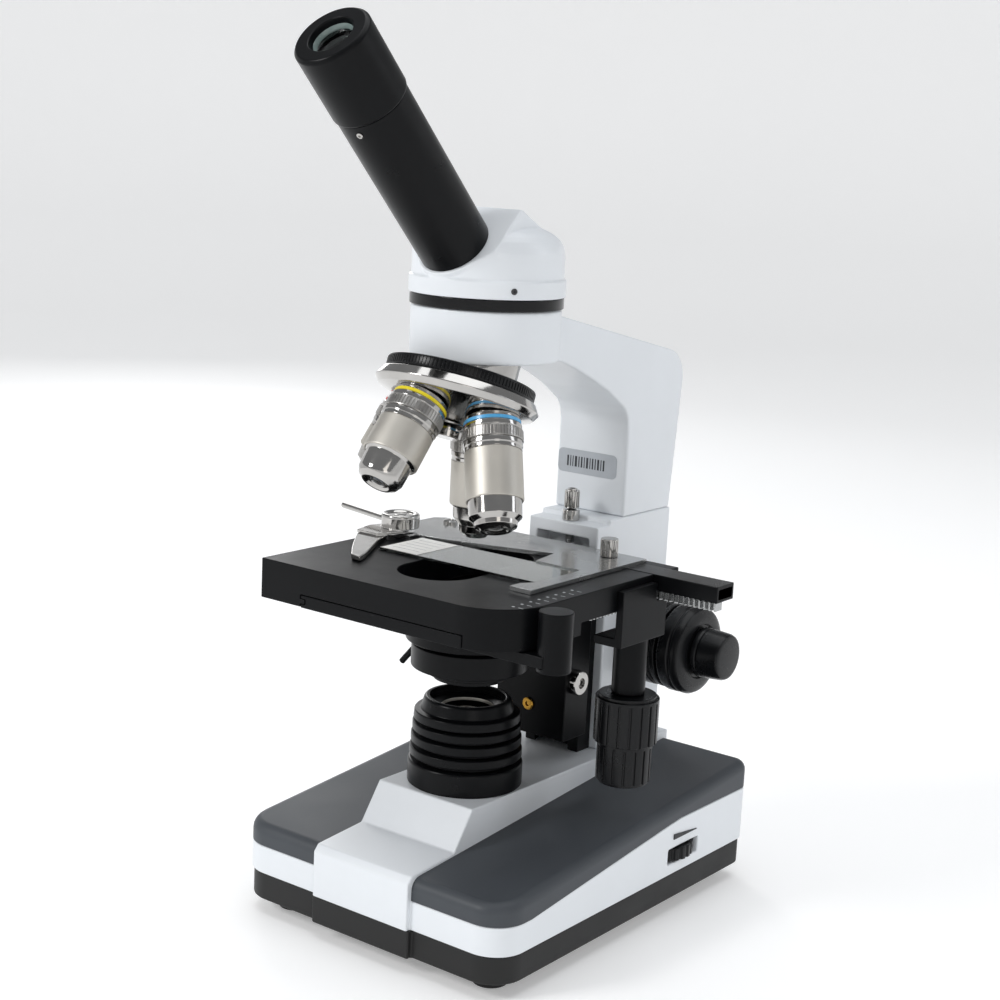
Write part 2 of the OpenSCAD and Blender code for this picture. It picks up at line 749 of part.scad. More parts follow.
module y_rack() color(steel) place() {
    p = PI * stage_module;
    translate([y_rack_line, knob_y, layer_low + 0.5]) rotate([0, 0, 90])
        linear_extrude(height = stage_layer - 0.8)
        rack2d(-10, 3, stage_module, tooth_play, y_rack_line - 44);
}

module stage_plate() color(black) place() {
    zt = stage_top;
    difference() {
        union() {
            difference() {
                block([-plate_half, -stage_front, plate_low], [plate_half, stage_rear, zt]);
                difference() {
                    block([plate_half - stage_corner, -stage_front - 1, plate_low - 9],
                        [plate_half + 1, -stage_front + stage_corner, zt + 1]);
                    post(stage_corner, plate_low - 10, zt + 2, plate_half - stage_corner,
                        -stage_front + stage_corner);
                }
            }
            block([-plate_half, -stage_front, layer_low + 0.3], [skirt_left, stage_rear, plate_low + 1]);
            block([skirt_left - 1, -stage_front, 126 + slide_gap],
                [skirt_left + 2.3, stage_rear, 128 - slide_gap]);
            intersection() {
                block([skirt_right, -stage_front, layer_low + 0.3], [plate_half, -10, plate_low + 1]);
                union() {
                    block([skirt_right - 1, -stage_front + stage_corner, 100], [plate_half, 0, 150]);
                    post(stage_corner, 100, 150, plate_half - stage_corner,
                        -stage_front + stage_corner);
                }
            }
        }
        for (y = [slot_front, slot_rear]) post(slot_radius, plate_low - 1, zt + 1, 0, y);
        block([-slot_radius, slot_front, plate_low - 1], [slot_radius, slot_rear, zt + 1]);
        block([-plate_half - 1, bar_front - slide_gap, bar_low - slide_gap],
            [plate_half + 1, bar_rear + slide_gap, zt + 1]);
        block([-plate_half - 1, bar_front - 1.1, pinion_x_low - 0.3],
            [plate_half + 1, bar_front + 4.3, bar_low]);
        post(stage_r + 0.9, plate_low - 1, bar_low + 0.3, knob_x, knob_y);
    }
}

module drive_bracket() color(black) place() {
    difference() {
        union() {
            block([plate_half, 12, bracket_low], [plate_half + 3, 42, zt_web()]);
            block([48.4, 12, bracket_low], [plate_half + 3, 42, bracket_low + 3.4]);
            post(6.45, sleeve_low, bracket_low + 1, knob_x, knob_y);
        }
        post(y_shaft_r + running_gap, sleeve_low - 1, bracket_low + 5, knob_x, knob_y);
        post(stage_r + 1.1, bracket_low + 3.4, 150, knob_x, knob_y);
        block([plate_half - 1, bar_front - 1.1, pinion_x_low - 0.3],
            [plate_half + 4, bar_rear + slide_gap, 150]);
    }
}

function zt_web() = stage_top - 2.5;

// upright grooves sunk into the side of a knob
module grooves(r, z0, z1, count) {
    for (i = [0:count - 1]) translate([knob_x, knob_y, 0]) rotate([0, 0, (i + 0.5) * 360 / count])
        block([r - 0.7, -0.45, z0], [r + 1, 0.45, z1]);
}

module y_knob() color(black) place() difference() {
    union() {
        post(y_knob_radius - 1.2, 92.2, 93.4, knob_x, knob_y);
        post(y_knob_radius, 74.8, 92.2, knob_x, knob_y);
        post(y_shaft_r, 93, pinion_y_low + stage_layer - 1, knob_x, knob_y);
        translate([knob_x, knob_y, pinion_y_low]) rotate([0, 0, 180 + 15])
            linear_extrude(height = 3.4) gear2d(stage_teeth, stage_module, tooth_play);
    }
    post(x_shaft_r + running_gap, 70, 135, knob_x, knob_y);
    grooves(y_knob_radius, 74, 91, 18);
}

module x_knob() color(black) place() {
    difference() {
        post(x_knob_radius, 59.4, 74.4, knob_x, knob_y);
        grooves(x_knob_radius, 58, 73, 16);
    }
    post(x_knob_radius - 1, 58.3, 59.5, knob_x, knob_y);
    post(x_shaft_r, 74, pinion_x_low + 2.7, knob_x, knob_y);
    translate([knob_x, knob_y, pinion_x_low]) rotate([0, 0, 90 + 15])
        linear_extrude(height = 2.7) gear2d(stage_teeth, stage_module, tooth_play);
}

module x_bar() color(black) place() difference() {
    block([-50, bar_front, bar_low], [bar_end, bar_rear, bar_top]);
    block([70, bar_front + 1.4, bar_low + 1.4], [bar_end + 1, bar_rear - 1.4, stage_top - 1.4]);
    for (x = [33, -46]) post(1.5, bar_low + 1, stage_top + 1, x, 42);
}

module x_rack() color(steel) place() {
    intersection() {
        translate([knob_x, bar_front, pinion_x_low]) linear_extrude(height = bar_low - pinion_x_low)
            rack2d(-11, 15, stage_module, tooth_play, 4);
        block([0, 0, 100], [bar_end, 60, 150]);
    }
}

module holder_frame() color(steel) place() {
    difference() {
        translate([0, 0, bar_top]) linear_extrude(height = frame_top - bar_top) polygon([
            [-58, 10], [-58, 46], [-54, 49.5], [45.5, 49.5], [45.5, -25.5], [36, -25.5],
            [36, -19.5], [39.2, -14], [39.2, 14], [36.5, 14.2], [18.5, 14.2],
            [15.8, 29.5], [-27, 16.5], [-40.5, 14.5], [-40.5, 10]]);
        post(1.5, 135, 145, 33, 42);
        post(1.5, 135, 145, -46, 42);
        post(2.4, 135, 145, clip_x, clip_y);
    }
}

module holder_screws() color(chrome) place() {
    for (x = [33, -46]) {
        post(1.5, bar_low + 1, frame_top, x, 42);
    }
    post(3.5, frame_top, 149, 33, 42);
    post(3, frame_top, 143.4, -46, 42);
    post(2.4, bar_top, 146.8, clip_x, clip_y);
}

module specimen_slide() color(glass) place()
    block([-37.4, 0.9 - slide_width / 2, bar_top],
        [-37.4 + slide_length, 0.9 + slide_width / 2, bar_top + 1]);

module clip_lever() color(chrome) place() {
    z0 = frame_top + 0.2;
    difference() {
        union() {
            post(7.7, z0 + 1.4, 149, clip_x, clip_y);
            translate([0, 0, z0]) linear_extrude(height = 1.4) polygon([
                [-57.5, 18], [-60.5, 8], [-58, -2], [-47.5, -2], [-46, 2], [-44, 10],
                [-43, 16], [-50, 21]]);
            translate([0, 0, stage_top + 0.4]) linear_extrude(height = z0 - stage_top) polygon([
                [-58.6, 3], [-56, -4], [-48, -15], [-40, -25], [-33.5, -32.5],
                [-28, -34], [-30.5, -28], [-35.5, -19], [-42, -8], [-46, 2], [-45.7, 3]]);
            translate([-56, 12.4, 146]) rotate([0, -90, -14]) cylinder(r = 1.2, h = 30.1);
        }
        post(2.4 + running_gap, 135, 147, clip_x, clip_y);
    }
}

// ---------- condenser ----------

module condenser_mount() color(black) place() difference() {
    union() {
        post(22, 117, layer_low);
        post(25, 110.2, 118.2);
    }
    post(18.6, 109, layer_low + 1);
}

module condenser_body() color(black) place() difference() {
    union() {
        post(18.6, 110.2, 127);
        post(17, 97, 110.4);
        post(14, 94.8, 97);
    }
    post(12.5, 94, 128);
    post(14.6, 122, 128);
}

module condenser_lens() color(glass) place() {
    translate([0, 0, 122]) rotate_extrude() polygon(concat([[0, 0], [14.6, 0], [14.6, 3]],
        [for (i = [1:6]) [14.6 * (1 - i / 6), 3 + 1.8 * sin(90 * i / 6)]]));
    translate([0, 0, 95.4]) cylinder(r = 12.5, h = 3);
}

module iris_ring() color(black) place() {
    difference() {
        union() {
            post(22.6, 99.6, 108.6);
            rotate([0, 0, 196]) translate([20.5, 0, 106.6]) rotate([0, 141.5, 0])
                cylinder(r = 1.2, h = 13);
        }
        post(17 + running_gap, 98, 110);
    }
}

// ---------- head and tube ----------

module head_housing() color(white) place() {
    difference() {
        union() {
            intersection() {
                union() {
                    rotate_extrude() polygon(concat([[0, ring_high - 1], [28.2, ring_high - 1]],
                        arc(17.2, 256, 11, 0, 90, 8), [[0, 267]]));
                    intersection() {
                        block([-19.3, -40, ring_high - 1], [19.3, 22, ridge_z + 1]);
                        post(28.2, ring_high - 1, ridge_z + 2);
                    }
                    at_tube() cylinder(r = 14.3, h = 45);
                }
                across(-40, 40, [[-60, 248], [face_sum * -1 + 248, 248], [ridge_y, ridge_z],
                    [50, ridge_z - rear_slope * (50 - ridge_y)], [50, 200], [-60, 200]]);
                across(-40, 40, [[248 - face_sum, 248], [ridge_y, ridge_z],
                    [60, ridge_z - rear_slope * (60 - ridge_y)], [60, 200], [-32, 200]]);
                block([-40, -45, ring_high - 1.5], [40, 40, 300]);
            }
            post(socket_radius + 1.1, head_low, ring_high);
            post(20, 227.2, head_low + 1);
        }
        post(16, 231, 251);
        post(9, 226, 232);
        at_tube() cylinder(r = tube_bore + 0.6, h = 60);
    }
}

module prism() color(glass) place() across(-9.5, 9.5, [[-9, 231], [9, 231], [9, 238], [2, 246],
    [-9, 240]]);

module prism_cover() color(white) place() {
    a = atan(rear_slope);
    translate([0, ridge_y, ridge_z]) rotate([-a, 0, 0]) difference() {
        block([-16.5, 2.5, 0], [16.5, 27.5, 1.1]);
        for (x = [-13, 13]) for (y = [5.5, 24.5]) post(1.4, 0.5, 2, x, y);
    }
}

module eyepiece_tube() color(black) place() at_tube() difference() {
    union() {
        translate([0, 0, tube_start]) cylinder(r = tube_radius, h = tube_end - tube_start);
        translate([0, 0, 16]) cylinder(r = tube_bore + 0.6, h = tube_start - 15);
    }
    translate([0, 0, 15]) cylinder(r = tube_bore, h = tube_end);
}

module eyepiece_barrel() color(black) place() at_tube() translate([0, 0, tube_end]) rotate_extrude()
    polygon([[10, -30], [tube_bore - running_gap, -30], [tube_bore - running_gap, 0],
        [tube_bore - running_gap, 0.1], [eyepiece_radius - 0.5, 0.1], [eyepiece_radius, 0.7],
        [eyepiece_radius, eyepiece_length - 1.2], [eyepiece_radius - 1.2, eyepiece_length],
        [8.2, eyepiece_length], [7.6, eyepiece_length - 3], [7.6, eyepiece_length - 3.6],
        [10, eyepiece_length - 3.6]]);

module eyepiece_lenses() color(glass) place() at_tube() {
    translate([0, 0, tube_end + eyepiece_length - 7.2]) cylinder(r = 10, h = 3.6);
    translate([0, 0, tube_end - 28]) cylinder(r = 10, h = 3);
}

// ---------- nosepiece ----------

module turret() color(chrome) place() {
    s = tan(turret_tilt);
    difference() {
        at_turret() rotate_extrude() polygon([
            [pivot_radius + running_gap, -6], [7, -4.6], [7, s * (7 - seat_circle)],
            [29.3, s * (29.3 - seat_circle)], [31, 6.4], [28.9, 9.9], [24.9, 9.9],
            [24.9, turret_top], [pivot_radius + running_gap, turret_top]]);
        for (i = [0:3]) at_seat(i * 90) {
            translate([0, 0, -2]) cylinder(r = 8.1, h = 7);
            cylinder(r = 6, h = 24);
        }
    }
}

module turret_grip() color(black) place() at_turret() difference() {
    translate([0, 0, 9.9]) cylinder(r = grip_radius, h = turret_top - 9.9);
    translate([0, 0, 9]) cylinder(r = 24.9, h = 8);
}

// objective hanging from its seat: collar, barrel, tip with stepped nose
module objective(len, barrel, nose, nose_len, tip) {
    difference() {
        translate([0, 0, -len]) rotate_extrude() polygon([
            [3, 0], [tip, 0], [nose, nose_len * 0.3], [nose, nose_len],
            [barrel, nose_len], [barrel, len - 10.4], [collar_radius - 0.6, len - 10.4],
            [collar_radius - 0.6, len - 7.6], [collar_radius, len - 7.6], [collar_radius, len - 2.6],
            [9.8, len - 2.6], [9.8, len], [8, len], [8, len + 4.4], [3, len + 4.4]]);
    }
}

module objective_4x() color(steel) place() at_seat(90)
    objective(length_4x, 10.6, 9.4, 5, 8.6);

module objective_10x() color(steel) place() at_seat(180)
    objective(length_10x, 10.3, 8.6, 8.2, 7);

module objective_40x() color(steel) place() at_seat(-90)
    objective(length_40x, 10.3, 8.8, 10.4, 6.4);

module objective_100x() color(steel) place() at_seat(0)
    objective(length_100x, 10.3, 8.4, 9, 4.2);

// ---------- output ----------

base_tray();
rubber_feet();
base_screws();
base_housing();
left_top_shell();
right_top_shell();
rheostat_body();
circuit_board();
power_inlet();
lamp_housing();
collector_lens();
lamp_socket();
lamp_bulb();
pedestal();
arm();
dovetail_guide();
shaft_bushes();
turret_mount();
head_ring();
rheostat_wheel();
rocker_switch();
stop_screw();
stop_lock_nut();
tension_collar();
coarse_shaft();
coarse_knob_right();
coarse_knob_left();
fine_shaft();
fine_knob_right();
fine_knob_left();
head_housing();
prism();
prism_cover();
eyepiece_tube();
eyepiece_barrel();
eyepiece_lenses();
turret();
turret_grip();
objective_4x();
objective_10x();
objective_40x();
objective_100x();
carriage();
focus_rack();
stage_base();
y_rack();
condenser_mount();
condenser_body();
condenser_lens();
iris_ring();
stage_plate();
drive_bracket();
y_knob();
x_knob();
x_bar();
x_rack();
holder_frame();
specimen_slide();
holder_screws();
clip_lever();
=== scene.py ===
"""The visible finish of an upright monocular laboratory microscope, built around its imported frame."""

import json
import math

import bpy
from mathutils import Matrix, Vector

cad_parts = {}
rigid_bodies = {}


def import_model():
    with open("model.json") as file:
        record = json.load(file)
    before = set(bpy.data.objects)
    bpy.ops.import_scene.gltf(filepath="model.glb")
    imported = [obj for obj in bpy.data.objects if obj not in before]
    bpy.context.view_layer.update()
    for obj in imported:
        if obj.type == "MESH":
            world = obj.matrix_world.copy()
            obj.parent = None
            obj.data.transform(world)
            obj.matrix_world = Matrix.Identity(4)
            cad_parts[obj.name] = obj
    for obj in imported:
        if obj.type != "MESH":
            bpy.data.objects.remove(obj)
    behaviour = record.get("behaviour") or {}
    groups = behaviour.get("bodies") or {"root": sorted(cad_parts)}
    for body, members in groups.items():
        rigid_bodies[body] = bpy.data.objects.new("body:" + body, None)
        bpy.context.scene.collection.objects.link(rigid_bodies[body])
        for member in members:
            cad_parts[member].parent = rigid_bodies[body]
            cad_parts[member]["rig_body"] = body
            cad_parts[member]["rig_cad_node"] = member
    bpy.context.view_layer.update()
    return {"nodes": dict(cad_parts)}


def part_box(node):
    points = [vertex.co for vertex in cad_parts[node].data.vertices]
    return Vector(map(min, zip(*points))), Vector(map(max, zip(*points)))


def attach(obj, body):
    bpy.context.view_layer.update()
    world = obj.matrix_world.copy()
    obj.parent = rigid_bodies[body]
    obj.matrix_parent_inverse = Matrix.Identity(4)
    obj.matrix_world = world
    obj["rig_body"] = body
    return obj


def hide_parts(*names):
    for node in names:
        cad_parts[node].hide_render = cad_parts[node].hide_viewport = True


bl_info = {
    "name": "Laboratory microscope",
    "version": (1, 0, 0),
    "blender": (4, 5, 0),
    "location": "View3D > Sidebar > Microscope",
    "description": "Builds the pieces and finishes of an upright laboratory microscope",
    "category": "Object",
}

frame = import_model()
NODES = frame["nodes"]

MM = 0.001
LAMP_LOW, LAMP_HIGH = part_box("lamp_housing")
AXIS = (LAMP_LOW + LAMP_HIGH) / 2  # the optical axis is the lamp's own axis


def linear(text):
    """An sRGB hex colour as linear red, green and blue."""
    channels = [int(text[i : i + 2], 16) / 255 for i in (1, 3, 5)]
    return tuple(c / 12.92 if c <= 0.04045 else ((c + 0.055) / 1.055) ** 2.4 for c in channels)


def optic(x, y, z):
    """A point given in mm from the optical axis, in the frame's metres."""
    return Vector((x * MM, y * MM + AXIS.y, z * MM))


def turn(degrees, axis):
    return Matrix.Rotation(math.radians(degrees), 4, axis)


TUBE = Matrix.Translation(optic(0, 0, 239.6)) @ turn(45, "X")
TILT = 20.0
SEAT_R = 18.5
TURRET = Matrix.Translation(
    optic(0, -SEAT_R * math.cos(math.radians(TILT)), 192.5 + SEAT_R * math.sin(math.radians(TILT)))
) @ turn(-TILT, "X")


def seat(degrees):
    """The frame of one seat of the nosepiece; its objective hangs towards -Z."""
    return TURRET @ turn(degrees, "Z") @ Matrix.Translation((0, SEAT_R * MM, 0)) @ turn(TILT, "X")


# ---------- settings ----------


def colour(name, text, default):
    return bpy.props.FloatVectorProperty(
        name=name, description=text, subtype="COLOR", size=3, min=0, max=1, default=linear(default)
    )


def length(name, text, mm):
    return bpy.props.FloatProperty(
        name=name, description=text, default=mm * MM, min=0, soft_max=0.1, unit="LENGTH"
    )


class FinishColours(bpy.types.PropertyGroup):
    stand: colour("Stand", "Powder coat of the stand, head and housing", "#E9EDF1")
    covers: colour("Covers", "Paint of the two covers of the base", "#45494E")
    tray: colour("Tray", "Moulded tray under the base", "#232323")
    satin_black: colour("Satin black", "Anodised black of the stage, tube and lamp", "#0C0D0F")
    plastic: colour("Knob black", "Moulded plastic of the knobs", "#101113")
    gloss: colour("Gloss black", "Polished ring under the head", "#050507")
    aluminium: colour("Aluminium", "Satin barrel of an objective", "#CBC7BF")
    steel: colour("Steel", "Ground steel of the slide holder", "#B4B5B5")
    chrome: colour("Chrome", "Plated parts", "#B9B7B4")
    brass: colour("Brass", "Bushes and one screw", "#B58A3C")
    band_low: colour("Red band", "Lowest-power objective", "#C8281E")
    band_mid: colour("Yellow band", "Second objective", "#F0DC28")
    band_high: colour("Blue band", "Third objective", "#5BB4EC")
    band_top: colour("White band", "Highest-power objective", "#E8E8E8")
    paper: colour("Paper", "Slide label", "#F1F0EC")
    plate: colour("Number plate", "Foil label of the arm", "#B9BEC4")
    floor: colour("Floor", "Floor and backdrop", "#F2F2F2")


class PieceSizes(bpy.types.PropertyGroup):
    edge: length("Edge radius", "Broken edge of machined metal", 0.35)
    soft_edge: length("Cast edge radius", "Rounded edge of painted castings", 0.9)
    cover_round: length("Cover rounding", "Rounded rim of the covers", 4.0)
    flute_depth: length("Flute depth", "Depth of the flutes of a knob", 0.55)
    knurl_depth: length("Knurl depth", "Depth of a fine knurl", 0.28)
    collar_ribs: bpy.props.IntProperty(
        name="Collar ribs", description="Ribs round an objective's collar", default=54, min=24, max=120
    )
    grip_ribs: bpy.props.IntProperty(
        name="Grip ribs", description="Ribs round the nosepiece grip", default=120, min=48, max=240
    )


def colours():
    return bpy.context.scene.microscope_colours


def sizes():
    return bpy.context.scene.microscope_sizes


# ---------- materials ----------


def add(tree, kind, inputs=None, **settings):
    """Adds one node; inputs may be plain values or the sockets that feed them."""
    node = tree.nodes.new(kind)
    for key, value in settings.items():
        setattr(node, key, value)
    for key, value in (inputs or {}).items():
        if isinstance(value, bpy.types.NodeSocket):
            tree.links.new(value, node.inputs[key])
        else:
            node.inputs[key].default_value = value
    return node


def ramp(tree, source, low, high, bottom=0.35, top=0.65):
    """A colour ramp from low to high over the middle of a 0 to 1 pattern."""
    node = add(tree, "ShaderNodeValToRGB", {"Fac": source})
    stops = node.color_ramp.elements
    stops[0].position, stops[1].position = bottom, top
    stops[0].color, stops[1].color = (*low, 1), (*high, 1)
    return node.outputs["Color"]


def shade(rgb, factor):
    return tuple(min(1.0, c * factor) for c in rgb)


def finish_material(
    name, rgb, metallic=0.0, roughness=0.4, grain=0.4, bump=0.1, cloud=25.0, vary=0.12,
    rough_vary=0.08, stretch=(1, 1, 1), turned=(0, 0, 0), coat=0.0, specular=0.5,
):
    """A surface with slow clouding of its colour and gloss over `cloud` mm and a relief of `grain` mm."""
    material = bpy.data.materials.get(name)
    if material:
        return material
    material = bpy.data.materials.new(name)
    material.use_nodes = True
    tree = material.node_tree
    shader = tree.nodes["Principled BSDF"]
    place = add(tree, "ShaderNodeTexCoord").outputs["Object"]
    mapped = add(tree, "ShaderNodeMapping", {"Vector": place, "Scale": stretch, "Rotation": turned})
    slow = add(
        tree, "ShaderNodeTexNoise",
        {"Vector": place, "Scale": 1 / (cloud * MM), "Detail": 5.0, "Roughness": 0.6},
    )
    fine = add(
        tree, "ShaderNodeTexNoise",
        {"Vector": mapped.outputs["Vector"], "Scale": 1 / (grain * MM), "Detail": 3.0},
    )
    tint = ramp(tree, slow.outputs["Fac"], shade(rgb, 1 - vary), shade(rgb, 1 + vary * 0.4))
    tree.links.new(tint, shader.inputs["Base Color"])
    gloss = add(
        tree, "ShaderNodeMapRange",
        {
            "Value": slow.outputs["Fac"], "From Min": 0.3, "From Max": 0.7,
            "To Min": max(0.02, roughness - rough_vary), "To Max": min(1.0, roughness + rough_vary),
        },
    )
    tree.links.new(gloss.outputs["Result"], shader.inputs["Roughness"])
    relief = add(
        tree, "ShaderNodeBump",
        {"Height": fine.outputs["Fac"], "Strength": bump, "Distance": 0.1 * MM},
    )
    tree.links.new(relief.outputs["Normal"], shader.inputs["Normal"])
    shader.inputs["Metallic"].default_value = metallic
    shader.inputs["Coat Weight"].default_value = coat
    shader.inputs["Coat Roughness"].default_value = 0.08
    if not metallic:
        shader.inputs["Specular IOR Level"].default_value = specular
    material.diffuse_color = (*rgb, 1)
    return material


def glass_material(name, rgb, roughness=0.02, ior=1.52):
    """Optical glass: clear, with the faint body tint and the polishing haze of a real lens."""
    material = bpy.data.materials.get(name)
    if material:
        return material
    material = bpy.data.materials.new(name)
    material.use_nodes = True
    tree = material.node_tree
    shader = tree.nodes["Principled BSDF"]
    place = add(tree, "ShaderNodeTexCoord").outputs["Object"]
    haze = add(tree, "ShaderNodeTexNoise", {"Vector": place, "Scale": 1 / (6 * MM), "Detail": 4.0})
    tree.links.new(ramp(tree, haze.outputs["Fac"], shade(rgb, 0.96), rgb), shader.inputs["Base Color"])
    film = add(
        tree, "ShaderNodeMapRange",
        {"Value": haze.outputs["Fac"], "To Min": roughness, "To Max": roughness + 0.03},
    )
    tree.links.new(film.outputs["Result"], shader.inputs["Roughness"])
    shader.inputs["IOR"].default_value = ior
    shader.inputs["Transmission Weight"].default_value = 1.0
    return material


def powder_coat():
    # polyester powder coat: a soft gloss over a faint orange-peel of about 1.2 mm
    return finish_material(
        "powder_coated_aluminium", colours().stand, roughness=0.34, grain=1.2, bump=0.05,
        cloud=60, vary=0.03, rough_vary=0.05, coat=0.15,
    )


def textured_paint():
    # stoving paint with a fine wrinkle, duller than the white coat
    return finish_material(
        "textured_stoving_paint", colours().covers, roughness=0.46, grain=0.45, bump=0.22,
        cloud=40, vary=0.10, rough_vary=0.06, specular=0.35,
    )


def tray_plastic():
    # moulded ABS with a spark-eroded texture
    return finish_material(
        "moulded_abs_tray", colours().tray, roughness=0.5, grain=0.5, bump=0.28, cloud=30, vary=0.14,
        specular=0.3,
    )


def anodised():
    # black anodised aluminium: even satin, faint machining grain
    return finish_material(
        "black_anodised_aluminium", colours().satin_black, roughness=0.31, grain=0.35, bump=0.10,
        cloud=35, vary=0.16, rough_vary=0.07, specular=0.14,
    )


def stage_paint():
    # baked semi-matt enamel of the stage plate
    return finish_material(
        "baked_black_enamel", colours().satin_black, roughness=0.36, grain=0.3, bump=0.16,
        cloud=45, vary=0.12, rough_vary=0.06, specular=0.12,
    )


def knob_plastic():
    # moulded phenolic: smooth, slightly greasy gloss
    return finish_material(
        "moulded_phenolic_knob", colours().plastic, roughness=0.28, grain=0.6, bump=0.05,
        cloud=18, vary=0.15, rough_vary=0.08, specular=0.25,
    )


def gloss_lacquer():
    # polished lacquer, nearly a mirror
    return finish_material(
        "polished_black_lacquer", colours().gloss, roughness=0.1, specular=0.3, grain=1.5, bump=0.02,
        cloud=30, vary=0.2, rough_vary=0.03, coat=0.1,
    )


def rubber():
    # moulded nitrile rubber, dusty matt
    return finish_material(
        "moulded_nitrile_rubber", linear("#1B1B1C"), roughness=0.75, grain=0.4, bump=0.2, cloud=12, vary=0.2,
    )


def satin_aluminium():
    # fine-turned and clear-anodised aluminium
    return finish_material(
        "satin_anodised_aluminium", colours().aluminium, metallic=1.0, roughness=0.5, grain=0.16,
        bump=0.12, cloud=14, vary=0.05, rough_vary=0.05,
    )


def chrome():
    # chrome-plated brass, polished, with light handling haze
    return finish_material(
        "chrome_plated_brass", colours().chrome, metallic=1.0, roughness=0.11, grain=0.8, bump=0.03,
        cloud=9, vary=0.05, rough_vary=0.05,
    )


def knurled_nickel():
    # dull nickel plate, which keeps the ribs of a knurl readable
    return finish_material(
        "dull_nickel_plate", colours().chrome, metallic=1.0, roughness=0.3, grain=0.4, bump=0.05,
        cloud=7, vary=0.08, rough_vary=0.06,
    )


def ground_steel():
    # ground stainless sheet: lines along X about 0.15 mm apart
    return finish_material(
        "ground_stainless_steel", colours().steel, metallic=1.0, roughness=0.24, grain=0.15, bump=0.05,
        cloud=20, vary=0.07, rough_vary=0.07, stretch=(0.02, 1, 1),
    )


def bright_steel():
    # drawn steel bar for shafts and racks
    return finish_material(
        "drawn_bright_steel", colours().steel, metallic=1.0, roughness=0.26, grain=0.3, bump=0.06,
        cloud=8, vary=0.08, rough_vary=0.08,
    )


def brass():
    return finish_material(
        "turned_brass", colours().brass, metallic=1.0, roughness=0.25, grain=0.3, bump=0.06, cloud=8,
        vary=0.1, rough_vary=0.08,
    )


def enamel(name, rgb):
    # hard enamel filled into a turned groove
    return finish_material("enamel_" + name, rgb, roughness=0.25, grain=0.5, bump=0.03, cloud=6, vary=0.05)


def paper():
    # matt paper label with a little fibre
    return finish_material(
        "label_paper", colours().paper, roughness=0.8, grain=0.12, bump=0.2, cloud=5, vary=0.05)


def foil():
    # printed polyester foil
    return finish_material(
        "printed_foil_label", colours().plate, roughness=0.4, grain=0.4, bump=0.05, cloud=8, vary=0.06)


def plain_finish(name="printing_ink", text="#33363B"):
    return finish_material(name, linear(text), roughness=0.5, grain=0.2, bump=0.05, cloud=3, vary=0.15)


# ---------- modelling helpers ----------


def leave_edit():
    if bpy.context.object and bpy.context.object.mode != "OBJECT":
        bpy.ops.object.mode_set(mode="OBJECT")


def only(obj):
    """Selects this object alone and makes it the active one."""
    leave_edit()
    bpy.ops.object.select_all(action="DESELECT")
    obj.select_set(True)
    bpy.context.view_layer.objects.active = obj


def nothing():
    leave_edit()
    bpy.ops.object.select_all(action="DESELECT")


def pick(obj, test, kind="FACE"):
    """Enters edit mode with the faces, edges or vertices selected that pass the test."""
    only(obj)
    bpy.ops.object.mode_set(mode="EDIT")
    bpy.ops.mesh.select_mode(type=kind)
    bpy.ops.mesh.select_all(action="DESELECT")
    bpy.ops.object.mode_set(mode="OBJECT")
    mesh = obj.data
    if kind == "FACE":
        for face in mesh.polygons:
            face.select = test(face.center, face.normal)
    elif kind == "EDGE":
        for edge in mesh.edges:
            a, b = (mesh.vertices[i].co for i in edge.vertices)
            edge.select = test((a + b) / 2, b - a)
    else:
        for vertex in mesh.vertices:
            vertex.select = test(vertex.co)
    bpy.ops.object.mode_set(mode="EDIT")


def apply_modifier(obj, kind, **settings):
    only(obj)
    modifier = obj.modifiers.new(kind.lower(), kind)
    for key, value in settings.items():
        setattr(modifier, key, value)
    bpy.ops.object.modifier_apply(modifier=modifier.name)


def round_edges(obj, width, segments=2, angle=32, clamp=False, slide=True):
    apply_modifier(
        obj, "BEVEL", width=width, segments=segments, limit_method="ANGLE", loop_slide=slide,
        angle_limit=math.radians(angle), use_clamp_overlap=clamp, miter_outer="MITER_ARC",
    )


def settle(obj, body, material, replaces=(), matrix=None, smooth=34, flats=True):
    """Puts a finished piece in place, gives it its finish and ties it to its body."""
    only(obj)
    if matrix is not None:
        obj.matrix_world = matrix
    bpy.ops.object.transform_apply(location=True, rotation=True, scale=True)
    bpy.ops.object.shade_smooth_by_angle(angle=math.radians(smooth))
    if flats:
        apply_modifier(obj, "WEIGHTED_NORMAL", mode="FACE_AREA", weight=50, keep_sharp=True)
    obj.data.materials.clear()
    obj.data.materials.append(material)
    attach(obj, body)
    if replaces:
        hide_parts(*replaces)
        for node in replaces:
            paint(node, material)
    return obj


def dressed(node, material, width=None, segments=2, angle=32, clamp=False, smooth=34, rear=False):
    """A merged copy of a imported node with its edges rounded, standing for that node.
    `rear` leaves the wall at the back, with its openings, as it is packed."""
    source = NODES[node]
    body = source["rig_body"]
    only(source)
    bpy.ops.object.duplicate()
    copy = bpy.context.object
    copy.name = node + "_finished"
    bpy.ops.object.parent_clear(type="CLEAR_KEEP_TRANSFORM")
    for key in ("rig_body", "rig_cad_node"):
        del copy[key]
    bpy.ops.object.mode_set(mode="EDIT")
    bpy.ops.mesh.select_all(action="SELECT")
    bpy.ops.mesh.remove_doubles(threshold=1e-6)
    if rear:
        pick(copy, lambda centre, normal: abs(normal.y) < 0.9)
    bpy.ops.mesh.dissolve_limited(angle_limit=math.radians(0.4))
    bpy.ops.object.mode_set(mode="OBJECT")
    round_edges(copy, sizes().edge if width is None else width, segments, angle, clamp, slide=not rear)
    return settle(copy, body, material, (node,), smooth=smooth)


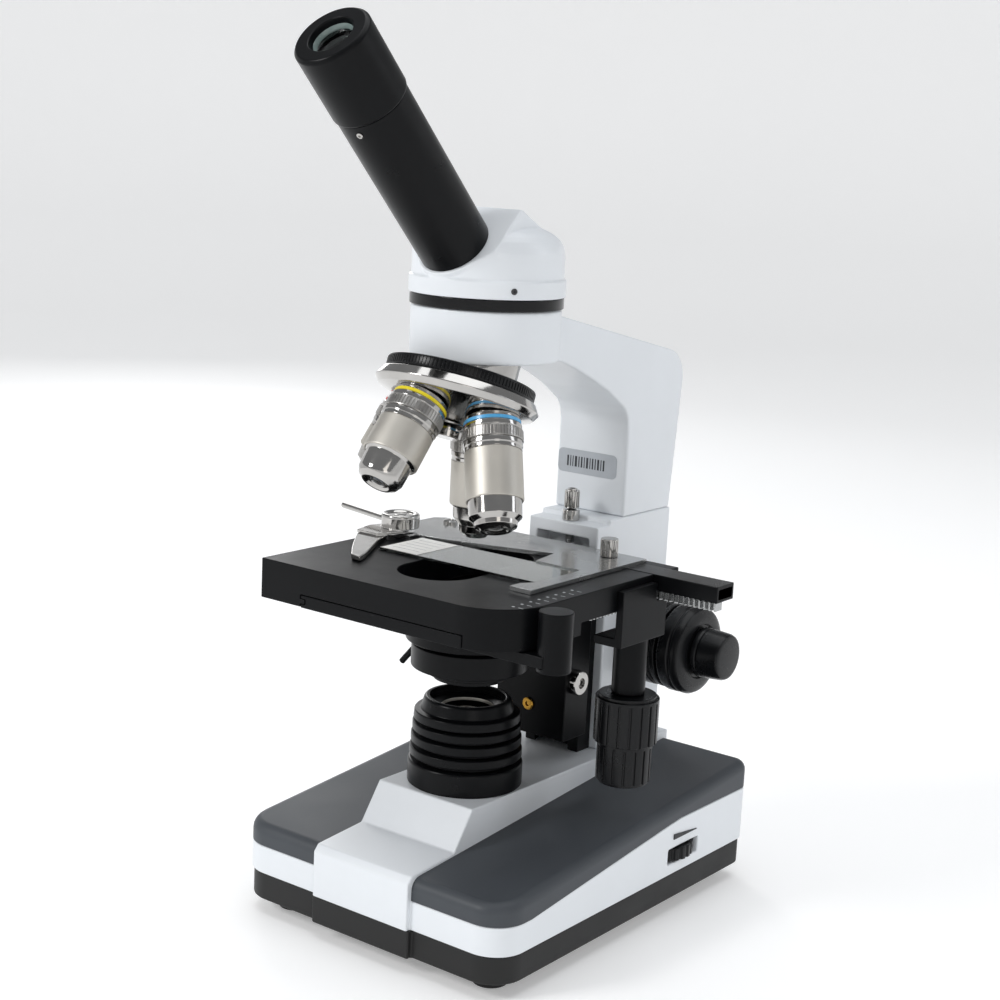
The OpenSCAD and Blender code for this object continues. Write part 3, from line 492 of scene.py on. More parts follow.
def cast(node, material, grain=0.8, passes=6, keep=0.5):
    """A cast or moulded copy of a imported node: remade as one skin of `grain` mm and softened at its edges."""
    source = NODES[node]
    body = source["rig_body"]
    only(source)
    bpy.ops.object.duplicate()
    copy = bpy.context.object
    copy.name = node + "_cast"
    bpy.ops.object.parent_clear(type="CLEAR_KEEP_TRANSFORM")
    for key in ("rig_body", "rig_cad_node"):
        del copy[key]
    bpy.ops.object.mode_set(mode="EDIT")
    bpy.ops.mesh.select_all(action="SELECT")
    bpy.ops.mesh.remove_doubles(threshold=1e-6)
    bpy.ops.object.mode_set(mode="OBJECT")
    apply_modifier(copy, "REMESH", mode="VOXEL", voxel_size=grain * MM)
    apply_modifier(copy, "SMOOTH", factor=0.5, iterations=passes)
    apply_modifier(copy, "DECIMATE", ratio=keep)
    return settle(copy, body, material, (node,), smooth=60, flats=False)


def paint(node, material):
    """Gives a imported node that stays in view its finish."""
    obj = NODES[node]
    if not obj.material_slots:
        obj.data.materials.append(material)
    for slot in obj.material_slots:
        slot.material = material


def turned(name, outline, steps=72, closed=True):
    """A shape turned about Z: its outline, radius and height in mm, is drawn point by point and spun."""
    nothing()
    bpy.ops.mesh.primitive_plane_add(size=MM)
    obj = bpy.context.object
    obj.name = name
    bpy.ops.object.mode_set(mode="EDIT")
    bpy.ops.mesh.select_mode(type="VERT")
    bpy.ops.mesh.select_all(action="SELECT")
    bpy.ops.mesh.merge(type="CENTER")
    radius, height = outline[0]
    bpy.ops.transform.translate(value=(radius * MM, 0, height * MM))
    points = list(outline[1:]) + ([outline[0]] if closed else [])
    for r, h in points:
        step = ((r - radius) * MM, 0, (h - height) * MM)
        bpy.ops.mesh.extrude_vertices_move(TRANSFORM_OT_translate={"value": step})
        radius, height = r, h
    bpy.ops.mesh.select_all(action="SELECT")
    bpy.ops.mesh.remove_doubles(threshold=1e-7)
    bpy.ops.mesh.select_all(action="SELECT")
    bpy.ops.mesh.spin(steps=steps, angle=2 * math.pi, center=(0, 0, 0), axis=(0, 0, 1))
    bpy.ops.mesh.select_all(action="SELECT")
    bpy.ops.mesh.remove_doubles(threshold=1e-6)
    bpy.ops.mesh.normals_make_consistent(inside=False)
    bpy.ops.object.mode_set(mode="OBJECT")
    return obj


def ribbed(name, radius, low, high, ribs, depth, rim=0.4, share=0.5, ends=True):
    """A turned ring whose side carries sunk flutes between ribs."""
    nothing()
    bpy.ops.mesh.primitive_cylinder_add(
        vertices=ribs * 2, radius=radius * MM, depth=(high - low) * MM,
        location=(0, 0, (high + low) / 2 * MM),
    )
    obj = bpy.context.object
    obj.name = name
    bpy.ops.object.transform_apply(location=True)
    step = math.pi / ribs

    def sunk(centre, normal):
        if abs(normal.z) > 0.5:
            return False
        return int(round(math.atan2(centre.y, centre.x) / step - 0.5)) % 2 == 0

    if ends:
        pick(obj, lambda c, n: abs(n.z) > 0.5)
        bpy.ops.mesh.bevel(offset=rim * MM, segments=2, affect="EDGES")
    pick(obj, lambda c, n: abs(n.z) < 0.05 and sunk(c, n))
    width = 2 * math.pi * radius / (2 * ribs)
    bpy.ops.mesh.inset(thickness=width * share * 0.4 * MM, depth=-depth, use_individual=True)
    leave_edit()
    return obj


def bar(name, low, high):
    """A block between two corners given in mm from the optical axis."""
    nothing()
    a, b = optic(*low), optic(*high)
    bpy.ops.mesh.primitive_cube_add(size=1, location=(a + b) / 2, scale=b - a)
    obj = bpy.context.object
    obj.name = name
    bpy.ops.object.transform_apply(location=True, scale=True)
    return obj


# ---------- pieces ----------


class MicroscopeOperator:
    bl_options = {"REGISTER", "UNDO"}


class BuildBase(MicroscopeOperator, bpy.types.Operator):
    """Builds the tray, feet and white housing of the base"""

    bl_idname = "microscope.base"
    bl_label = "Base"

    def execute(self, context):
        dressed("base_tray", tray_plastic(), width=0.8 * MM, segments=3)
        dressed("base_housing", powder_coat(), width=0.6 * MM, segments=3, angle=25, rear=True)
        dressed("rubber_feet", rubber(), width=0.6 * MM)
        paint("base_screws", bright_steel())
        self.mark()
        return {"FINISHED"}

    def mark(self):
        """The raised wedge over the dimmer wheel, thick towards the front."""
        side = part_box("base_housing")[1].x / MM
        wedge = bar("dimmer_wedge_mark", (side - 0.3, 53, 31.4), (side + 0.5, 70, 33.6))
        pick(wedge, lambda co: co.z > optic(0, 0, 33).z and co.y > optic(0, 60, 0).y, "VERT")
        bpy.ops.transform.translate(value=(0, 0, -2.0 * MM))
        leave_edit()
        round_edges(wedge, 0.12 * MM)
        settle(wedge, "stand", plain_finish("moulded_mark", "#26282B"))


class BuildCovers(MicroscopeOperator, bpy.types.Operator):
    """Builds the two painted covers of the base with their rounded rims"""

    bl_idname = "microscope.covers"
    bl_label = "Covers"

    def execute(self, context):
        for node, side in (("left_top_shell", -1), ("right_top_shell", 1)):
            self.cover(node, side)
        return {"FINISHED"}

    def cover(self, node, side):
        low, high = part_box(node)
        inner, outer = sorted((low.x, high.x), key=abs)
        front, rear = low.y, high.y
        seam_low, seam_high = low.z, low.z + 11.2 * MM
        top_front, top_rear = high.z - (rear - front) * 0.0867, high.z
        nothing()
        bpy.ops.mesh.primitive_cube_add(size=1)
        obj = bpy.context.object
        obj.name = node + "_rounded"
        for vertex in obj.data.vertices:
            x = inner if vertex.co.x * side < 0 else outer
            y = front if vertex.co.y < 0 else rear
            z = low.z if vertex.co.z < 0 else (top_front if y == front else top_rear)
            vertex.co = (x, y, z)
        if side < 0:
            pick(obj, lambda c, n: True)
            bpy.ops.mesh.normals_make_consistent(inside=False)
            leave_edit()
        upright = lambda c, d, y: abs(c.x - outer) < 1e-4 and abs(c.y - y) < 1e-4 and abs(d.z) > 0.005
        pick(obj, lambda c, d: upright(c, d, front), "EDGE")
        bpy.ops.mesh.bevel(offset=13 * MM, segments=12, affect="EDGES")
        pick(obj, lambda c, d: upright(c, d, rear), "EDGE")
        bpy.ops.mesh.bevel(offset=6 * MM, segments=8, affect="EDGES")
        breaks = [optic(0, y, 0).y for y in (-40, 50, 58)]
        for y in breaks:
            pick(obj, lambda c, n: True)
            bpy.ops.mesh.bisect(plane_co=(0, y, 0), plane_no=(0, 1, 0))
        leave_edit()
        for vertex in obj.data.vertices:
            if vertex.co.z < low.z + 1e-5:
                y = vertex.co.y
                if y > breaks[2] - 1e-6:
                    rise = seam_high - seam_low
                elif y > breaks[1] - 1e-6:
                    rise = (seam_high - seam_low) * 0.93
                else:
                    rise = (seam_high - seam_low) * 0.93 * max(0.0, (y - breaks[0]) / (breaks[1] - breaks[0]))
                vertex.co.z = seam_low + rise + 0.15 * MM
        pick(obj, lambda c, n: n.z > 0.9)
        bpy.ops.mesh.region_to_loop()
        leave_edit()
        round_rim = sizes().cover_round
        for edge in obj.data.edges:
            a, b = (obj.data.vertices[i].co for i in edge.vertices)
            if abs((a.x + b.x) / 2 - inner) < 1e-4:
                edge.select = False
        bpy.ops.object.mode_set(mode="EDIT")
        bpy.ops.mesh.bevel(offset=round_rim, segments=6, affect="EDGES", clamp_overlap=True)
        leave_edit()
        pick(obj, lambda c, n: n.z < -0.6)
        bpy.ops.mesh.delete(type="FACE")
        leave_edit()
        apply_modifier(obj, "SOLIDIFY", thickness=2.0 * MM, offset=-1)
        settle(obj, "stand", textured_paint(), (node,), smooth=30)


class BuildLamp(MicroscopeOperator, bpy.types.Operator):
    """Builds the finned lamp housing, its lens, bulb and socket"""

    bl_idname = "microscope.lamp"
    bl_label = "Lamp"

    def execute(self, context):
        dressed("lamp_housing", anodised(), width=0.45 * MM, segments=3)
        paint("collector_lens", glass_material("collector_crown_glass", linear("#EAF3F2")))
        paint("lamp_bulb", glass_material("bulb_quartz_glass", linear("#F5F5F0")))
        paint("lamp_socket", finish_material(
            "glazed_steatite", linear("#D9D4C6"), roughness=0.5, grain=0.4, bump=0.1, cloud=8, vary=0.08))
        on_axis = Matrix.Translation((AXIS.x, AXIS.y, 0))
        ring = turned("lens_retaining_ring", [
            (10.2, 82.6), (14.55, 82.6), (14.55, 84.4), (13.4, 84.6), (10.6, 83.6), (10.2, 83.2)], 64)
        settle(ring, "stand", anodised(), matrix=on_axis)
        # the thin bright aluminium ring round the lens is a painted highlight: it stands in for the ring of
        # light at the lens's rim
        rim_highlight = turned("lens_rim_highlight_ring", [
            (9.7, 82.4), (10.25, 82.4), (10.25, 83.4), (9.9, 83.5), (9.7, 83.2)], 64)
        settle(rim_highlight, "stand", satin_aluminium(), matrix=on_axis)
        return {"FINISHED"}


class BuildStand(MicroscopeOperator, bpy.types.Operator):
    """Builds the pedestal, arm, socket, guide and number plate"""

    bl_idname = "microscope.stand"
    bl_label = "Stand"

    def execute(self, context):
        dressed("pedestal", powder_coat(), width=0.9 * MM, segments=3)
        cast("arm", powder_coat(), grain=0.72, passes=3)
        # two thin brown bars are painted shadow: they stand in for the shade that falls in the groove between
        # the socket and the arm
        for x in (-17.08, 16.88):
            groove_shadow = bar("socket_groove_painted_shadow", (x, 22.3, 218.8), (x + 0.2, 22.8, 237.3))
            settle(groove_shadow, "stand", plain_finish("seam_shadow", "#4A3F38"))
        dressed("dovetail_guide", stage_paint())
        dressed("head_ring", gloss_lacquer(), width=0.3 * MM)
        dressed("turret_mount", chrome(), width=0.25 * MM)
        dressed("stop_lock_nut", chrome(), width=0.25 * MM)
        paint("shaft_bushes", brass())
        self.stop_screw()
        self.number_plate()
        return {"FINISHED"}

    def stop_screw(self):
        low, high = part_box("stop_screw")
        place = Matrix.Translation(((low.x + high.x) / 2, (low.y + high.y) / 2, 0))
        head = ribbed("stop_screw_head", 3.05, 153.0, 160.4, 18, 0.3 * MM, rim=0.5)
        settle(head, "stop_screw", chrome(), ("stop_screw",), place)
        threads = [(1.2, 160.3), (1.9, 160.3), (1.9, 161.0), (1.2, 161.0)]
        cap = turned("stop_screw_cap", threads, 32)
        settle(cap, "stop_screw", chrome(), matrix=place)
        outline = [(0, 138.7), (1.5, 138.7)]
        z = 139.2
        while z < 152.6:
            outline += [(1.92, z), (1.62, z + 0.35)]
            z += 0.7
        outline += [(1.9, 153.1), (0, 153.1)]
        shank = turned("stop_screw_shank", outline, 32)
        settle(shank, "stop_screw", bright_steel(), matrix=place)

    def number_plate(self):
        front = 74.9  # the flat face of the arm, in mm behind the optical axis
        label = bar("number_plate", (-16.5, front - 0.12, 164.7), (12.4, front + 0.05, 174.5))
        pick(label, lambda c, d: abs(d.y) > 0.0001 and abs(d.x) + abs(d.z) < 1e-6, "EDGE")
        bpy.ops.mesh.bevel(offset=2.2 * MM, segments=5, affect="EDGES")
        leave_edit()
        settle(label, "stand", foil())
        marks = (1.0, 0.5, 0.5, 1.3, 0.6, 0.9, 0.5, 1.2, 0.5, 0.8, 0.6, 1.1, 0.5, 0.9)
        x = -12.0
        strokes = []
        for width in marks:
            strokes.append(bar("stroke", (x, front - 0.18, 167.4), (x + width * 0.8, front - 0.1, 171.8)))
            x += width * 0.8 + 0.75
        merge_pieces(strokes, "number_plate_bars")
        settle(strokes[0], "stand", plain_finish())


def merge_pieces(pieces, name):
    """Joins several like shapes into the first one."""
    nothing()
    for piece in pieces:
        piece.select_set(True)
    bpy.context.view_layer.objects.active = pieces[0]
    bpy.ops.object.join()
    pieces[0].name = name
    return pieces[0]


class BuildFocusDrive(MicroscopeOperator, bpy.types.Operator):
    """Builds the coarse and fine knobs, their shafts and the tension collar"""

    bl_idname = "microscope.focus_drive"
    bl_label = "Focus drive"

    def execute(self, context):
        paint("coarse_shaft", bright_steel())
        paint("fine_shaft", bright_steel())
        shaft_radius = 3 * MM
        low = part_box("fine_shaft")[0]
        centre = (low.y + shaft_radius, low.z + shaft_radius)
        for side, tag in ((1, "right"), (-1, "left")):
            place = Matrix.Translation((0, *centre)) @ turn(90 * side, "Y")
            coarse = turned("coarse_knob_" + tag + "_turned", [
                (5.0, 36.2), (16.4, 36.2), (17.8, 37.4), (18.1, 38.2), (18.1, 41.8), (17.6, 42.3),
                (17.6, 43.0), (18.1, 43.5), (18.1, 45.2), (17.2, 46.8), (14.5, 47.9), (11.4, 47.9),
                (11.0, 46.9), (3.4, 46.9), (3.4, 42), (5.0, 42)], 96)
            round_edges(coarse, 0.25 * MM)
            settle(coarse, "coarse_focus", knob_plastic(), ("coarse_knob_" + tag,), place)
            fine = turned("fine_knob_" + tag + "_turned", [
                (3.0, 48.3), (9.8, 48.3), (10.25, 48.8), (10.25, 50.2), (9.9, 50.7), (9.9, 51.2),
                (10.2, 51.6), (9.6, 59.2), (9.0, 60.5), (7.6, 60.95), (0, 60.95), (0, 56), (3.0, 56)], 80)
            round_edges(fine, 0.2 * MM)
            settle(fine, "fine_focus", knob_plastic(), ("fine_knob_" + tag,), place)
        hub = turned("coarse_knob_left_hub", [
            (5.0, 17.6), (9.2, 17.6), (9.5, 17.9), (9.5, 36.2), (5.0, 36.2)], 72)
        settle(hub, "coarse_focus", knob_plastic(), matrix=Matrix.Translation(
            (0, *centre)) @ turn(-90, "Y"))
        dressed("tension_collar", knob_plastic(), width=0.4 * MM, segments=3)
        return {"FINISHED"}


class BuildCarriage(MicroscopeOperator, bpy.types.Operator):
    """Builds the focus carriage, the fixed stage layer and their screws"""

    bl_idname = "microscope.carriage"
    bl_label = "Carriage"

    def execute(self, context):
        dressed("carriage", stage_paint(), width=0.5 * MM)
        dressed("stage_base", stage_paint(), width=0.45 * MM)
        paint("focus_rack", bright_steel())
        paint("y_rack", bright_steel())
        screw = turned("carriage_side_screw", [
            (0, 0), (4.8, 0), (5.0, 0.3), (5.0, 2.6), (4.6, 3.2), (2.2, 3.3), (1.9, 2.2), (0, 2.2)], 48)
        settle(screw, "carriage", chrome(), matrix=Matrix.Translation(
            optic(16.9, 47.5, 86.5)) @ turn(90, "Y"))
        screw = turned("carriage_front_screw", [
            (0, 0), (2.6, 0), (2.6, 0.7), (2.2, 1.0), (1.0, 1.0), (0.8, 0.4), (0, 0.4)], 32)
        settle(screw, "carriage", brass(), matrix=Matrix.Translation(
            optic(-0.7, 41.05, 75)) @ turn(90, "X"))
        return {"FINISHED"}


class BuildStagePlate(MicroscopeOperator, bpy.types.Operator):
    """Builds the moving stage plate with its printed scale"""

    bl_idname = "microscope.stage_plate"
    bl_label = "Stage plate"

    def execute(self, context):
        dressed("stage_plate", stage_paint(), width=0.3 * MM, segments=2)
        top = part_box("stage_plate")[1].z / MM
        ticks = []
        for i in range(8):
            y = -43 + i * 5
            ticks.append(bar("tick", (53.2, y, top - 0.02), (55.2, y + 0.3, top + 0.04)))
            ticks.append(bar("figure", (50.6, y - 0.3, top - 0.02), (51.6, y + 0.5, top + 0.04)))
        merge_pieces(ticks, "stage_scale")
        settle(ticks[0], "stage", enamel("scale_white", linear("#C9CDD0")))
        return {"FINISHED"}


class BuildStageDrive(MicroscopeOperator, bpy.types.Operator):
    """Builds the drive bracket and the two fluted stage knobs"""

    bl_idname = "microscope.stage_drive"
    bl_label = "Stage drive"

    def execute(self, context):
        dressed("drive_bracket", stage_paint())
        dressed("y_knob", knob_plastic(), width=0.22 * MM, segments=2)
        dressed("x_knob", knob_plastic(), width=0.22 * MM, segments=2)
        return {"FINISHED"}


class BuildSlideHolder(MicroscopeOperator, bpy.types.Operator):
    """Builds the X bar, the slide holder with its clip and the specimen slide"""

    bl_idname = "microscope.slide_holder"
    bl_label = "Slide holder"

    def execute(self, context):
        dressed("x_bar", anodised())
        paint("x_rack", bright_steel())
        dressed("holder_frame", ground_steel(), width=0.12 * MM, clamp=True)
        paint("specimen_slide", glass_material("soda_lime_slide_glass", linear("#EEF5F3"), ior=1.51))
        low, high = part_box("specimen_slide")
        left, front, rear, top = low.x / MM, (low.y - AXIS.y) / MM, (high.y - AXIS.y) / MM, high.z / MM
        label = bar(
            "slide_label", (left + 0.4, front + 0.5, top - 0.01), (left + 18.5, rear - 0.5, top + 0.025))
        settle(label, "slide_holder", paper())
        rules = [
            bar(
                "rule", (left + 2.5, front + 5 + 4 * i, top + 0.02),
                (left + 16, front + 5.25 + 4 * i, top + 0.035))
            for i in range(5)
        ]
        merge_pieces(rules, "slide_label_rules")
        settle(rules[0], "slide_holder", plain_finish("faint_ink", "#8A8D92"))
        self.screws()
        self.clip()
        return {"FINISHED"}

    def clip(self):
        """The clip, its hub lowered a little to carry a cap with a rounded rim and a dished top."""
        clip = dressed("clip_lever", chrome(), width=0.3 * MM, segments=3)
        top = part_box("clip_lever")[1].z
        pick(clip, lambda co: co.z > top - 0.9 * MM, "VERT")
        bpy.ops.transform.translate(value=(0, 0, -0.7 * MM))
        leave_edit()
        h = top / MM
        cap = turned("clip_hub_cap", [
            (0, h - 1.6), (7.72, h - 1.6), (7.72, h - 0.8), (7.45, h - 0.3), (6.9, h), (6.2, h),
            (5.6, h - 0.25), (5.0, h - 0.75), (2.6, h - 0.9), (2.3, h - 0.6), (1.9, h - 0.5),
            (0, h - 0.45)], 64)
        settle(cap, "clip", chrome(), matrix=Matrix.Translation(optic(-50, 15, 0)))

    def screws(self):
        paint("holder_screws", chrome())
        head = ribbed("holder_screw_head", 3.5, 141.8, 148.9, 24, 0.22 * MM, rim=0.45)
        place = Matrix.Translation(optic(33, 42, 0))
        settle(head, "slide_holder", chrome(), ("holder_screws",), place)
        flat = turned("holder_rear_screw", [
            (0, 141.7), (3.0, 141.7), (3.0, 142.6), (2.5, 143.2), (0.9, 143.35), (0.7, 142.9),
            (0, 142.9)], 40)
        settle(flat, "slide_holder", chrome(), matrix=Matrix.Translation(optic(-46, 42, 0)))


class BuildCondenser(MicroscopeOperator, bpy.types.Operator):
    """Builds the condenser, its lens and the iris ring with its lever"""

    bl_idname = "microscope.condenser"
    bl_label = "Condenser"

    def execute(self, context):
        dressed("condenser_mount", anodised(), width=0.5 * MM, segments=3)
        dressed("condenser_body", anodised())
        dressed("iris_ring", anodised(), width=0.5 * MM, segments=3)
        paint("condenser_lens", glass_material("condenser_crown_glass", linear("#EAF3F2")))
        return {"FINISHED"}


class BuildHead(MicroscopeOperator, bpy.types.Operator):
    """Builds the swivelling head, its cover plate, tube and set screws"""

    bl_idname = "microscope.head"
    bl_label = "Head"

    def execute(self, context):
        cast("head_housing", powder_coat(), grain=0.42, passes=2)
        dressed("prism_cover", powder_coat(), width=0.3 * MM)
        dressed("eyepiece_tube", anodised(), width=0.3 * MM)
        paint("prism", glass_material("prism_flint_glass", linear("#F0F4F2"), ior=1.57))
        screw = [(0, 0), (1.15, 0), (1.15, 0.35), (0.85, 0.5), (0.5, 0.5), (0.5, 0.1), (0, 0.1)]
        angle = -33.0
        place = (
            Matrix.Translation((AXIS.x, AXIS.y, 0)) @ turn(angle, "Z")
            @ Matrix.Translation((29.0 * MM, 0, 244.9 * MM)) @ turn(90, "Y")
        )
        blackened = plain_finish("blackened_steel", "#3A3A3C")
        settle(turned("head_set_screw", screw, 24), "head", blackened, matrix=place)
        place = TUBE @ turn(-80, "Z") @ Matrix.Translation((13.25 * MM, 0, 93.4 * MM)) @ turn(90, "Y")
        settle(turned("tube_set_screw", screw, 24), "head", chrome(), matrix=place)
        return {"FINISHED"}


class BuildEyepiece(MicroscopeOperator, bpy.types.Operator):
    """Builds the eyepiece with its eye lens and retaining ring"""

    bl_idname = "microscope.eyepiece"
    bl_label = "Eyepiece"

    def execute(self, context):
        dressed("eyepiece_barrel", anodised(), width=0.4 * MM, segments=3)
        paint("eyepiece_lenses", glass_material("coated_eye_lens", linear("#DDEBE6")))
        ring = turned("eye_lens_ring", [
            (6.6, 121.3), (8.0, 121.3), (8.0, 122.4), (7.4, 123.2), (6.6, 122.0)], 64)
        settle(ring, "eyepiece", enamel("ring_green_grey", linear("#7F8F8C")), matrix=TUBE)
        return {"FINISHED"}


class BuildNosepiece(MicroscopeOperator, bpy.types.Operator):
    """Builds the turret of the nosepiece and its knurled grip"""

    bl_idname = "microscope.nosepiece"
    bl_label = "Nosepiece"

    def execute(self, context):
        dressed("turret", chrome(), width=0.4 * MM, segments=3)
        low = 9.95
        grip = ribbed(
            "turret_grip_knurled", 28.0, low, low + 4.6, sizes().grip_ribs, sizes().knurl_depth, rim=0.9)
        settle(grip, "nosepiece", knob_plastic(), ("turret_grip",), TURRET)
        return {"FINISHED"}


class BuildObjectives(MicroscopeOperator, bpy.types.Operator):
    """Builds the four objectives with knurled collars, bands and front lenses"""

    bl_idname = "microscope.objectives"
    bl_label = "Objectives"

    def execute(self, context):
        c = colours()
        self.objective("objective_4x", 90, 27, 21.5, c.band_low, [(9.4, 1.0), (9.0, 4.6)], 8.4)
        self.objective("objective_10x", 180, 36.5, 26, c.band_mid, [(8.9, 0.8), (8.6, 7.2), (7.6, 9.2)], 6.4)
        self.objective("objective_40x", -90, 42, 31.2, c.band_high, [
            (9.7, 0.6), (9.6, 6.0), (7.9, 7.6), (7.7, 9.4)], 6.2)
        self.objective("objective_100x", 0, 42.5, 30, c.band_top, [
            (9.2, 0.8), (9.0, 5.0), (6.8, 7.6), (6.4, 10.4)], 4.6)
        return {"FINISHED"}

    def objective(self, node, angle, reach, barrel_end, band, nose, tip):
        """reach is the length below the seat; nose gives radius against distance below the barrel."""
        place = seat(angle)
        outline = [(6.2, 4.3), (7.9, 4.3), (7.9, 0), (9.9, -0.05), (9.9, -1.3), (10.3, -1.5), (10.3, -3.0),
                   (10.7, -3.2), (10.7, -4.9), (10.5, -5.1), (10.5, -9.4), (10.8, -9.5), (10.8, -11.2),
                   (10.5, -11.6), (10.5, -12.9), (9.9, -13.0), (9.9, -barrel_end + 0.3)]
        outline += [(r, -barrel_end - down) for r, down in nose]
        outline += [(tip, -reach + 0.7), (tip - 0.6, -reach), (tip - 1.6, -reach + 0.05),
                    (tip - 2.2, -reach + 0.9), (3.0, -reach + 1.0), (3.0, -reach + 6), (6.2, -reach + 9)]
        shell = turned(node + "_chrome", outline, 72)
        round_edges(shell, 0.18 * MM)
        settle(shell, "nosepiece", chrome(), (node,), place, smooth=30)
        barrel = turned(node + "_barrel", [
            (9.8, -13.05), (10.35, -13.05), (10.5, -13.3), (10.5, -barrel_end + 0.5), (10.2, -barrel_end),
            (9.8, -barrel_end)], 80)
        settle(barrel, "nosepiece", satin_aluminium(), matrix=place)
        ring = turned(node + "_band", [(10.2, -1.55), (10.45, -1.65), (10.45, -2.75), (10.2, -2.85)], 72)
        settle(ring, "nosepiece", enamel(node, band), matrix=place)
        collar = ribbed(node + "_knurl", 11.1, -9.3, -5.2, sizes().collar_ribs, sizes().knurl_depth, rim=0.35)
        settle(collar, "nosepiece", knurled_nickel(), matrix=place)
        lens = turned(node + "_front_lens", [
            (0, -reach + 1.4), (1.6, -reach + 1.5), (3.0, -reach + 1.9), (3.0, -reach + 3.2),
            (0, -reach + 3.2)], 40)
        coated = glass_material("coated_front_lens", linear("#C9D6E4"))
        settle(lens, "nosepiece", coated, matrix=place)


class BuildControls(MicroscopeOperator, bpy.types.Operator):
    """Builds the dimmer wheel, the rocker switch and the mains inlet"""

    bl_idname = "microscope.controls"
    bl_label = "Controls"

    def execute(self, context):
        dressed("rheostat_wheel", knob_plastic(), width=0.25 * MM)
        dressed("rocker_switch", knob_plastic(), width=0.4 * MM)
        dressed("power_inlet", tray_plastic(), width=0.4 * MM)
        paint("rheostat_body", finish_material(
            "zinc_plated_steel", linear("#A8A594"), metallic=1.0, roughness=0.4, grain=0.5, bump=0.08,
            cloud=8))
        paint("circuit_board", finish_material(
            "glass_epoxy_board", linear("#2B6A3B"), roughness=0.4, grain=0.5, bump=0.1, cloud=6, vary=0.15))
        return {"FINISHED"}


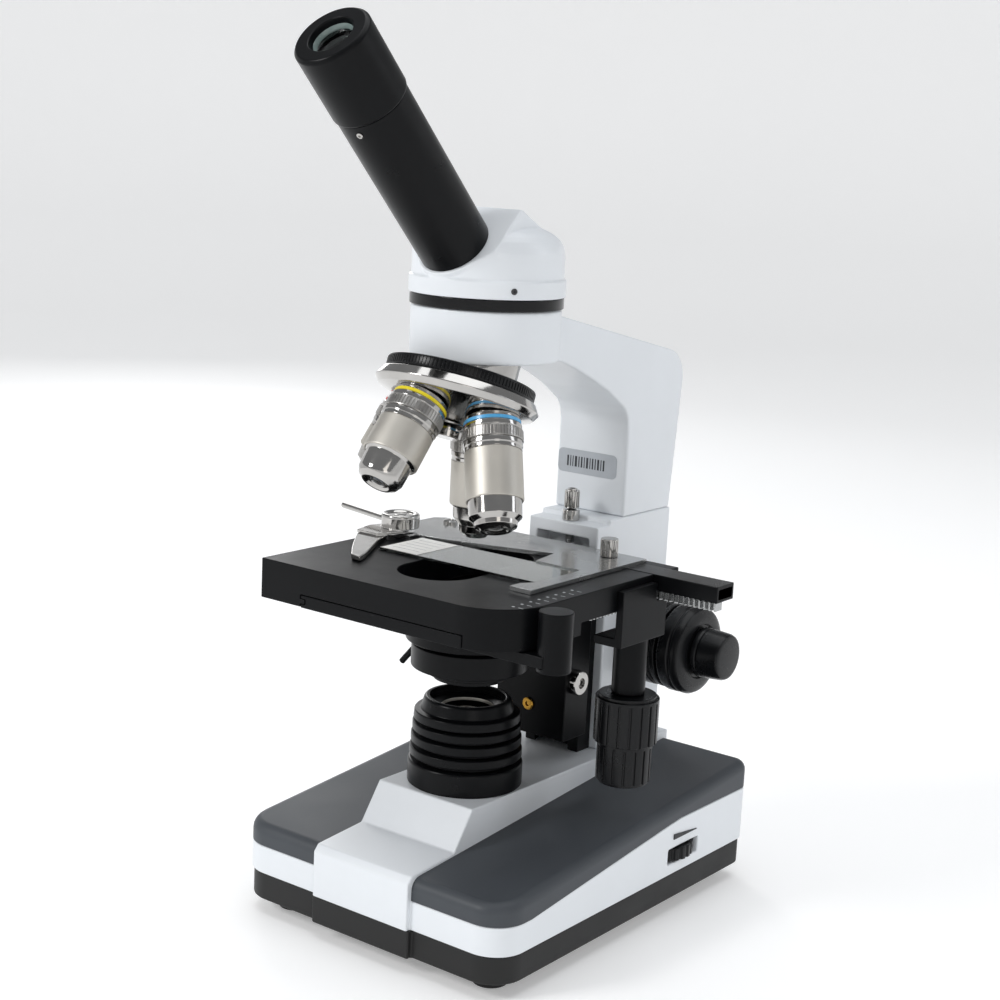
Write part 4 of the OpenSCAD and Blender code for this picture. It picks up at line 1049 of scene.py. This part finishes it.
class BuildStage(MicroscopeOperator, bpy.types.Operator):
    """Builds the floor sweep, the lights and the camera"""

    bl_idname = "microscope.studio"
    bl_label = "Studio"

    def execute(self, context):
        self.floor()
        self.lights()
        self.camera()
        return {"FINISHED"}

    def floor(self):
        outline = [(0, 0), (1500, 0), (1900, 40), (2200, 160), (2400, 400), (2480, 760)]
        sweep = turned("floor_sweep", [(r, z - 0.3) for r, z in outline], 64, closed=False)
        only(sweep)
        bpy.ops.object.mode_set(mode="EDIT")
        bpy.ops.mesh.select_all(action="SELECT")
        bpy.ops.mesh.normals_make_consistent(inside=True)
        bpy.ops.object.mode_set(mode="OBJECT")
        bpy.ops.object.shade_smooth()
        backdrop = finish_material(
            "backlit_white_acrylic", colours().floor, roughness=0.9, grain=2.0, bump=0.02, cloud=900,
            vary=0.01)
        shader = backdrop.node_tree.nodes["Principled BSDF"]
        shader.inputs["Emission Color"].default_value = (*colours().floor, 1)
        shader.inputs["Emission Strength"].default_value = 0.3
        sweep.data.materials.append(backdrop)

    def light(self, name, place, size, power, tint, aim):
        nothing()
        bpy.ops.object.light_add(type="AREA", location=place)
        lamp = bpy.context.object
        lamp.name = name
        lamp.data.shape = "RECTANGLE"
        lamp.data.size, lamp.data.size_y = size
        lamp.data.energy = power
        lamp.data.color = linear(tint)
        lamp.rotation_euler = (Vector(aim) - Vector(place)).to_track_quat("-Z", "Y").to_euler()

    def lights(self):
        aim = (0, 0, 0.16)
        self.light("key_softbox", (-0.62, -1.2, 0.95), (0.4, 0.4), 8.6, "#FFFFFF", aim)
        self.light("front_fill", (1.2, -0.9, 0.7), (0.5, 0.7), 1.5, "#FFFAF4", aim)
        self.light("top_softbox", (0.0, 0.1, 1.6), (1.5, 1.5), 12, "#FBFDFF", aim)
        self.light("rim_strip", (1.1, 0.85, 0.8), (0.3, 0.9), 1.8, "#F4F8FF", aim)
        self.light("rear_strip", (-1.1, 0.8, 0.7), (0.3, 0.9), 3, "#FFFFFF", aim)
        world = bpy.context.scene.world or bpy.data.worlds.new("studio_air")
        bpy.context.scene.world = world
        world.use_nodes = True
        backdrop = world.node_tree.nodes["Background"]
        backdrop.inputs["Color"].default_value = (*linear("#F6F8FB"), 1)
        backdrop.inputs["Strength"].default_value = 0.3
        bpy.context.scene.view_settings.view_transform = "Standard"

    def camera(self):
        """Looks down a little at the microscope from its front right."""
        nothing()
        bpy.ops.object.camera_add()
        camera = bpy.context.object
        camera.name = "studio_camera"
        azimuth, elevation, roll = (math.radians(v) for v in (37.01, 11.08, 2.84))
        back = Vector((
            math.sin(azimuth) * math.cos(elevation), -math.cos(azimuth) * math.cos(elevation),
            math.sin(elevation)))
        right = Vector((math.cos(azimuth), math.sin(azimuth), 0))
        up = back.cross(right)
        level_right = right * math.cos(roll) + up * math.sin(roll)
        level_up = up * math.cos(roll) - right * math.sin(roll)
        place = optic(412.5, -533.0, 296.4)
        camera.matrix_world = Matrix((
            (level_right.x, level_up.x, back.x, place.x),
            (level_right.y, level_up.y, back.y, place.y),
            (level_right.z, level_up.z, back.z, place.z),
            (0, 0, 0, 1),
        ))
        camera.data.sensor_width = 36
        camera.data.lens = 65.63
        camera.data.clip_start = 0.05
        camera.data.clip_end = 20
        bpy.context.scene.camera = camera


BUILDERS = (
    BuildBase, BuildCovers, BuildLamp, BuildStand, BuildFocusDrive, BuildCarriage, BuildStagePlate,
    BuildStageDrive, BuildSlideHolder, BuildCondenser, BuildHead, BuildEyepiece, BuildNosepiece,
    BuildObjectives, BuildControls, BuildStage,
)


class MicroscopePanel(bpy.types.Panel):
    """Lists the builders of the microscope"""

    bl_idname = "VIEW3D_PT_microscope"
    bl_label = "Microscope"
    bl_space_type = "VIEW_3D"
    bl_region_type = "UI"
    bl_category = "Microscope"

    def draw(self, context):
        for group in (context.scene.microscope_sizes, context.scene.microscope_colours):
            for key in group.__annotations__:
                self.layout.prop(group, key)
        for builder in BUILDERS:
            self.layout.operator(builder.bl_idname)


CLASSES = (FinishColours, PieceSizes, *BUILDERS, MicroscopePanel)


def register():
    for cls in CLASSES:
        bpy.utils.register_class(cls)
    bpy.types.Scene.microscope_colours = bpy.props.PointerProperty(type=FinishColours)
    bpy.types.Scene.microscope_sizes = bpy.props.PointerProperty(type=PieceSizes)


def unregister():
    del bpy.types.Scene.microscope_sizes
    del bpy.types.Scene.microscope_colours
    for cls in reversed(CLASSES):
        bpy.utils.unregister_class(cls)


def main():
    register()
    for builder in BUILDERS:
        group, name = builder.bl_idname.split(".")
        getattr(getattr(bpy.ops, group), name)()
    nothing()


if __name__ == "__main__":
    main()
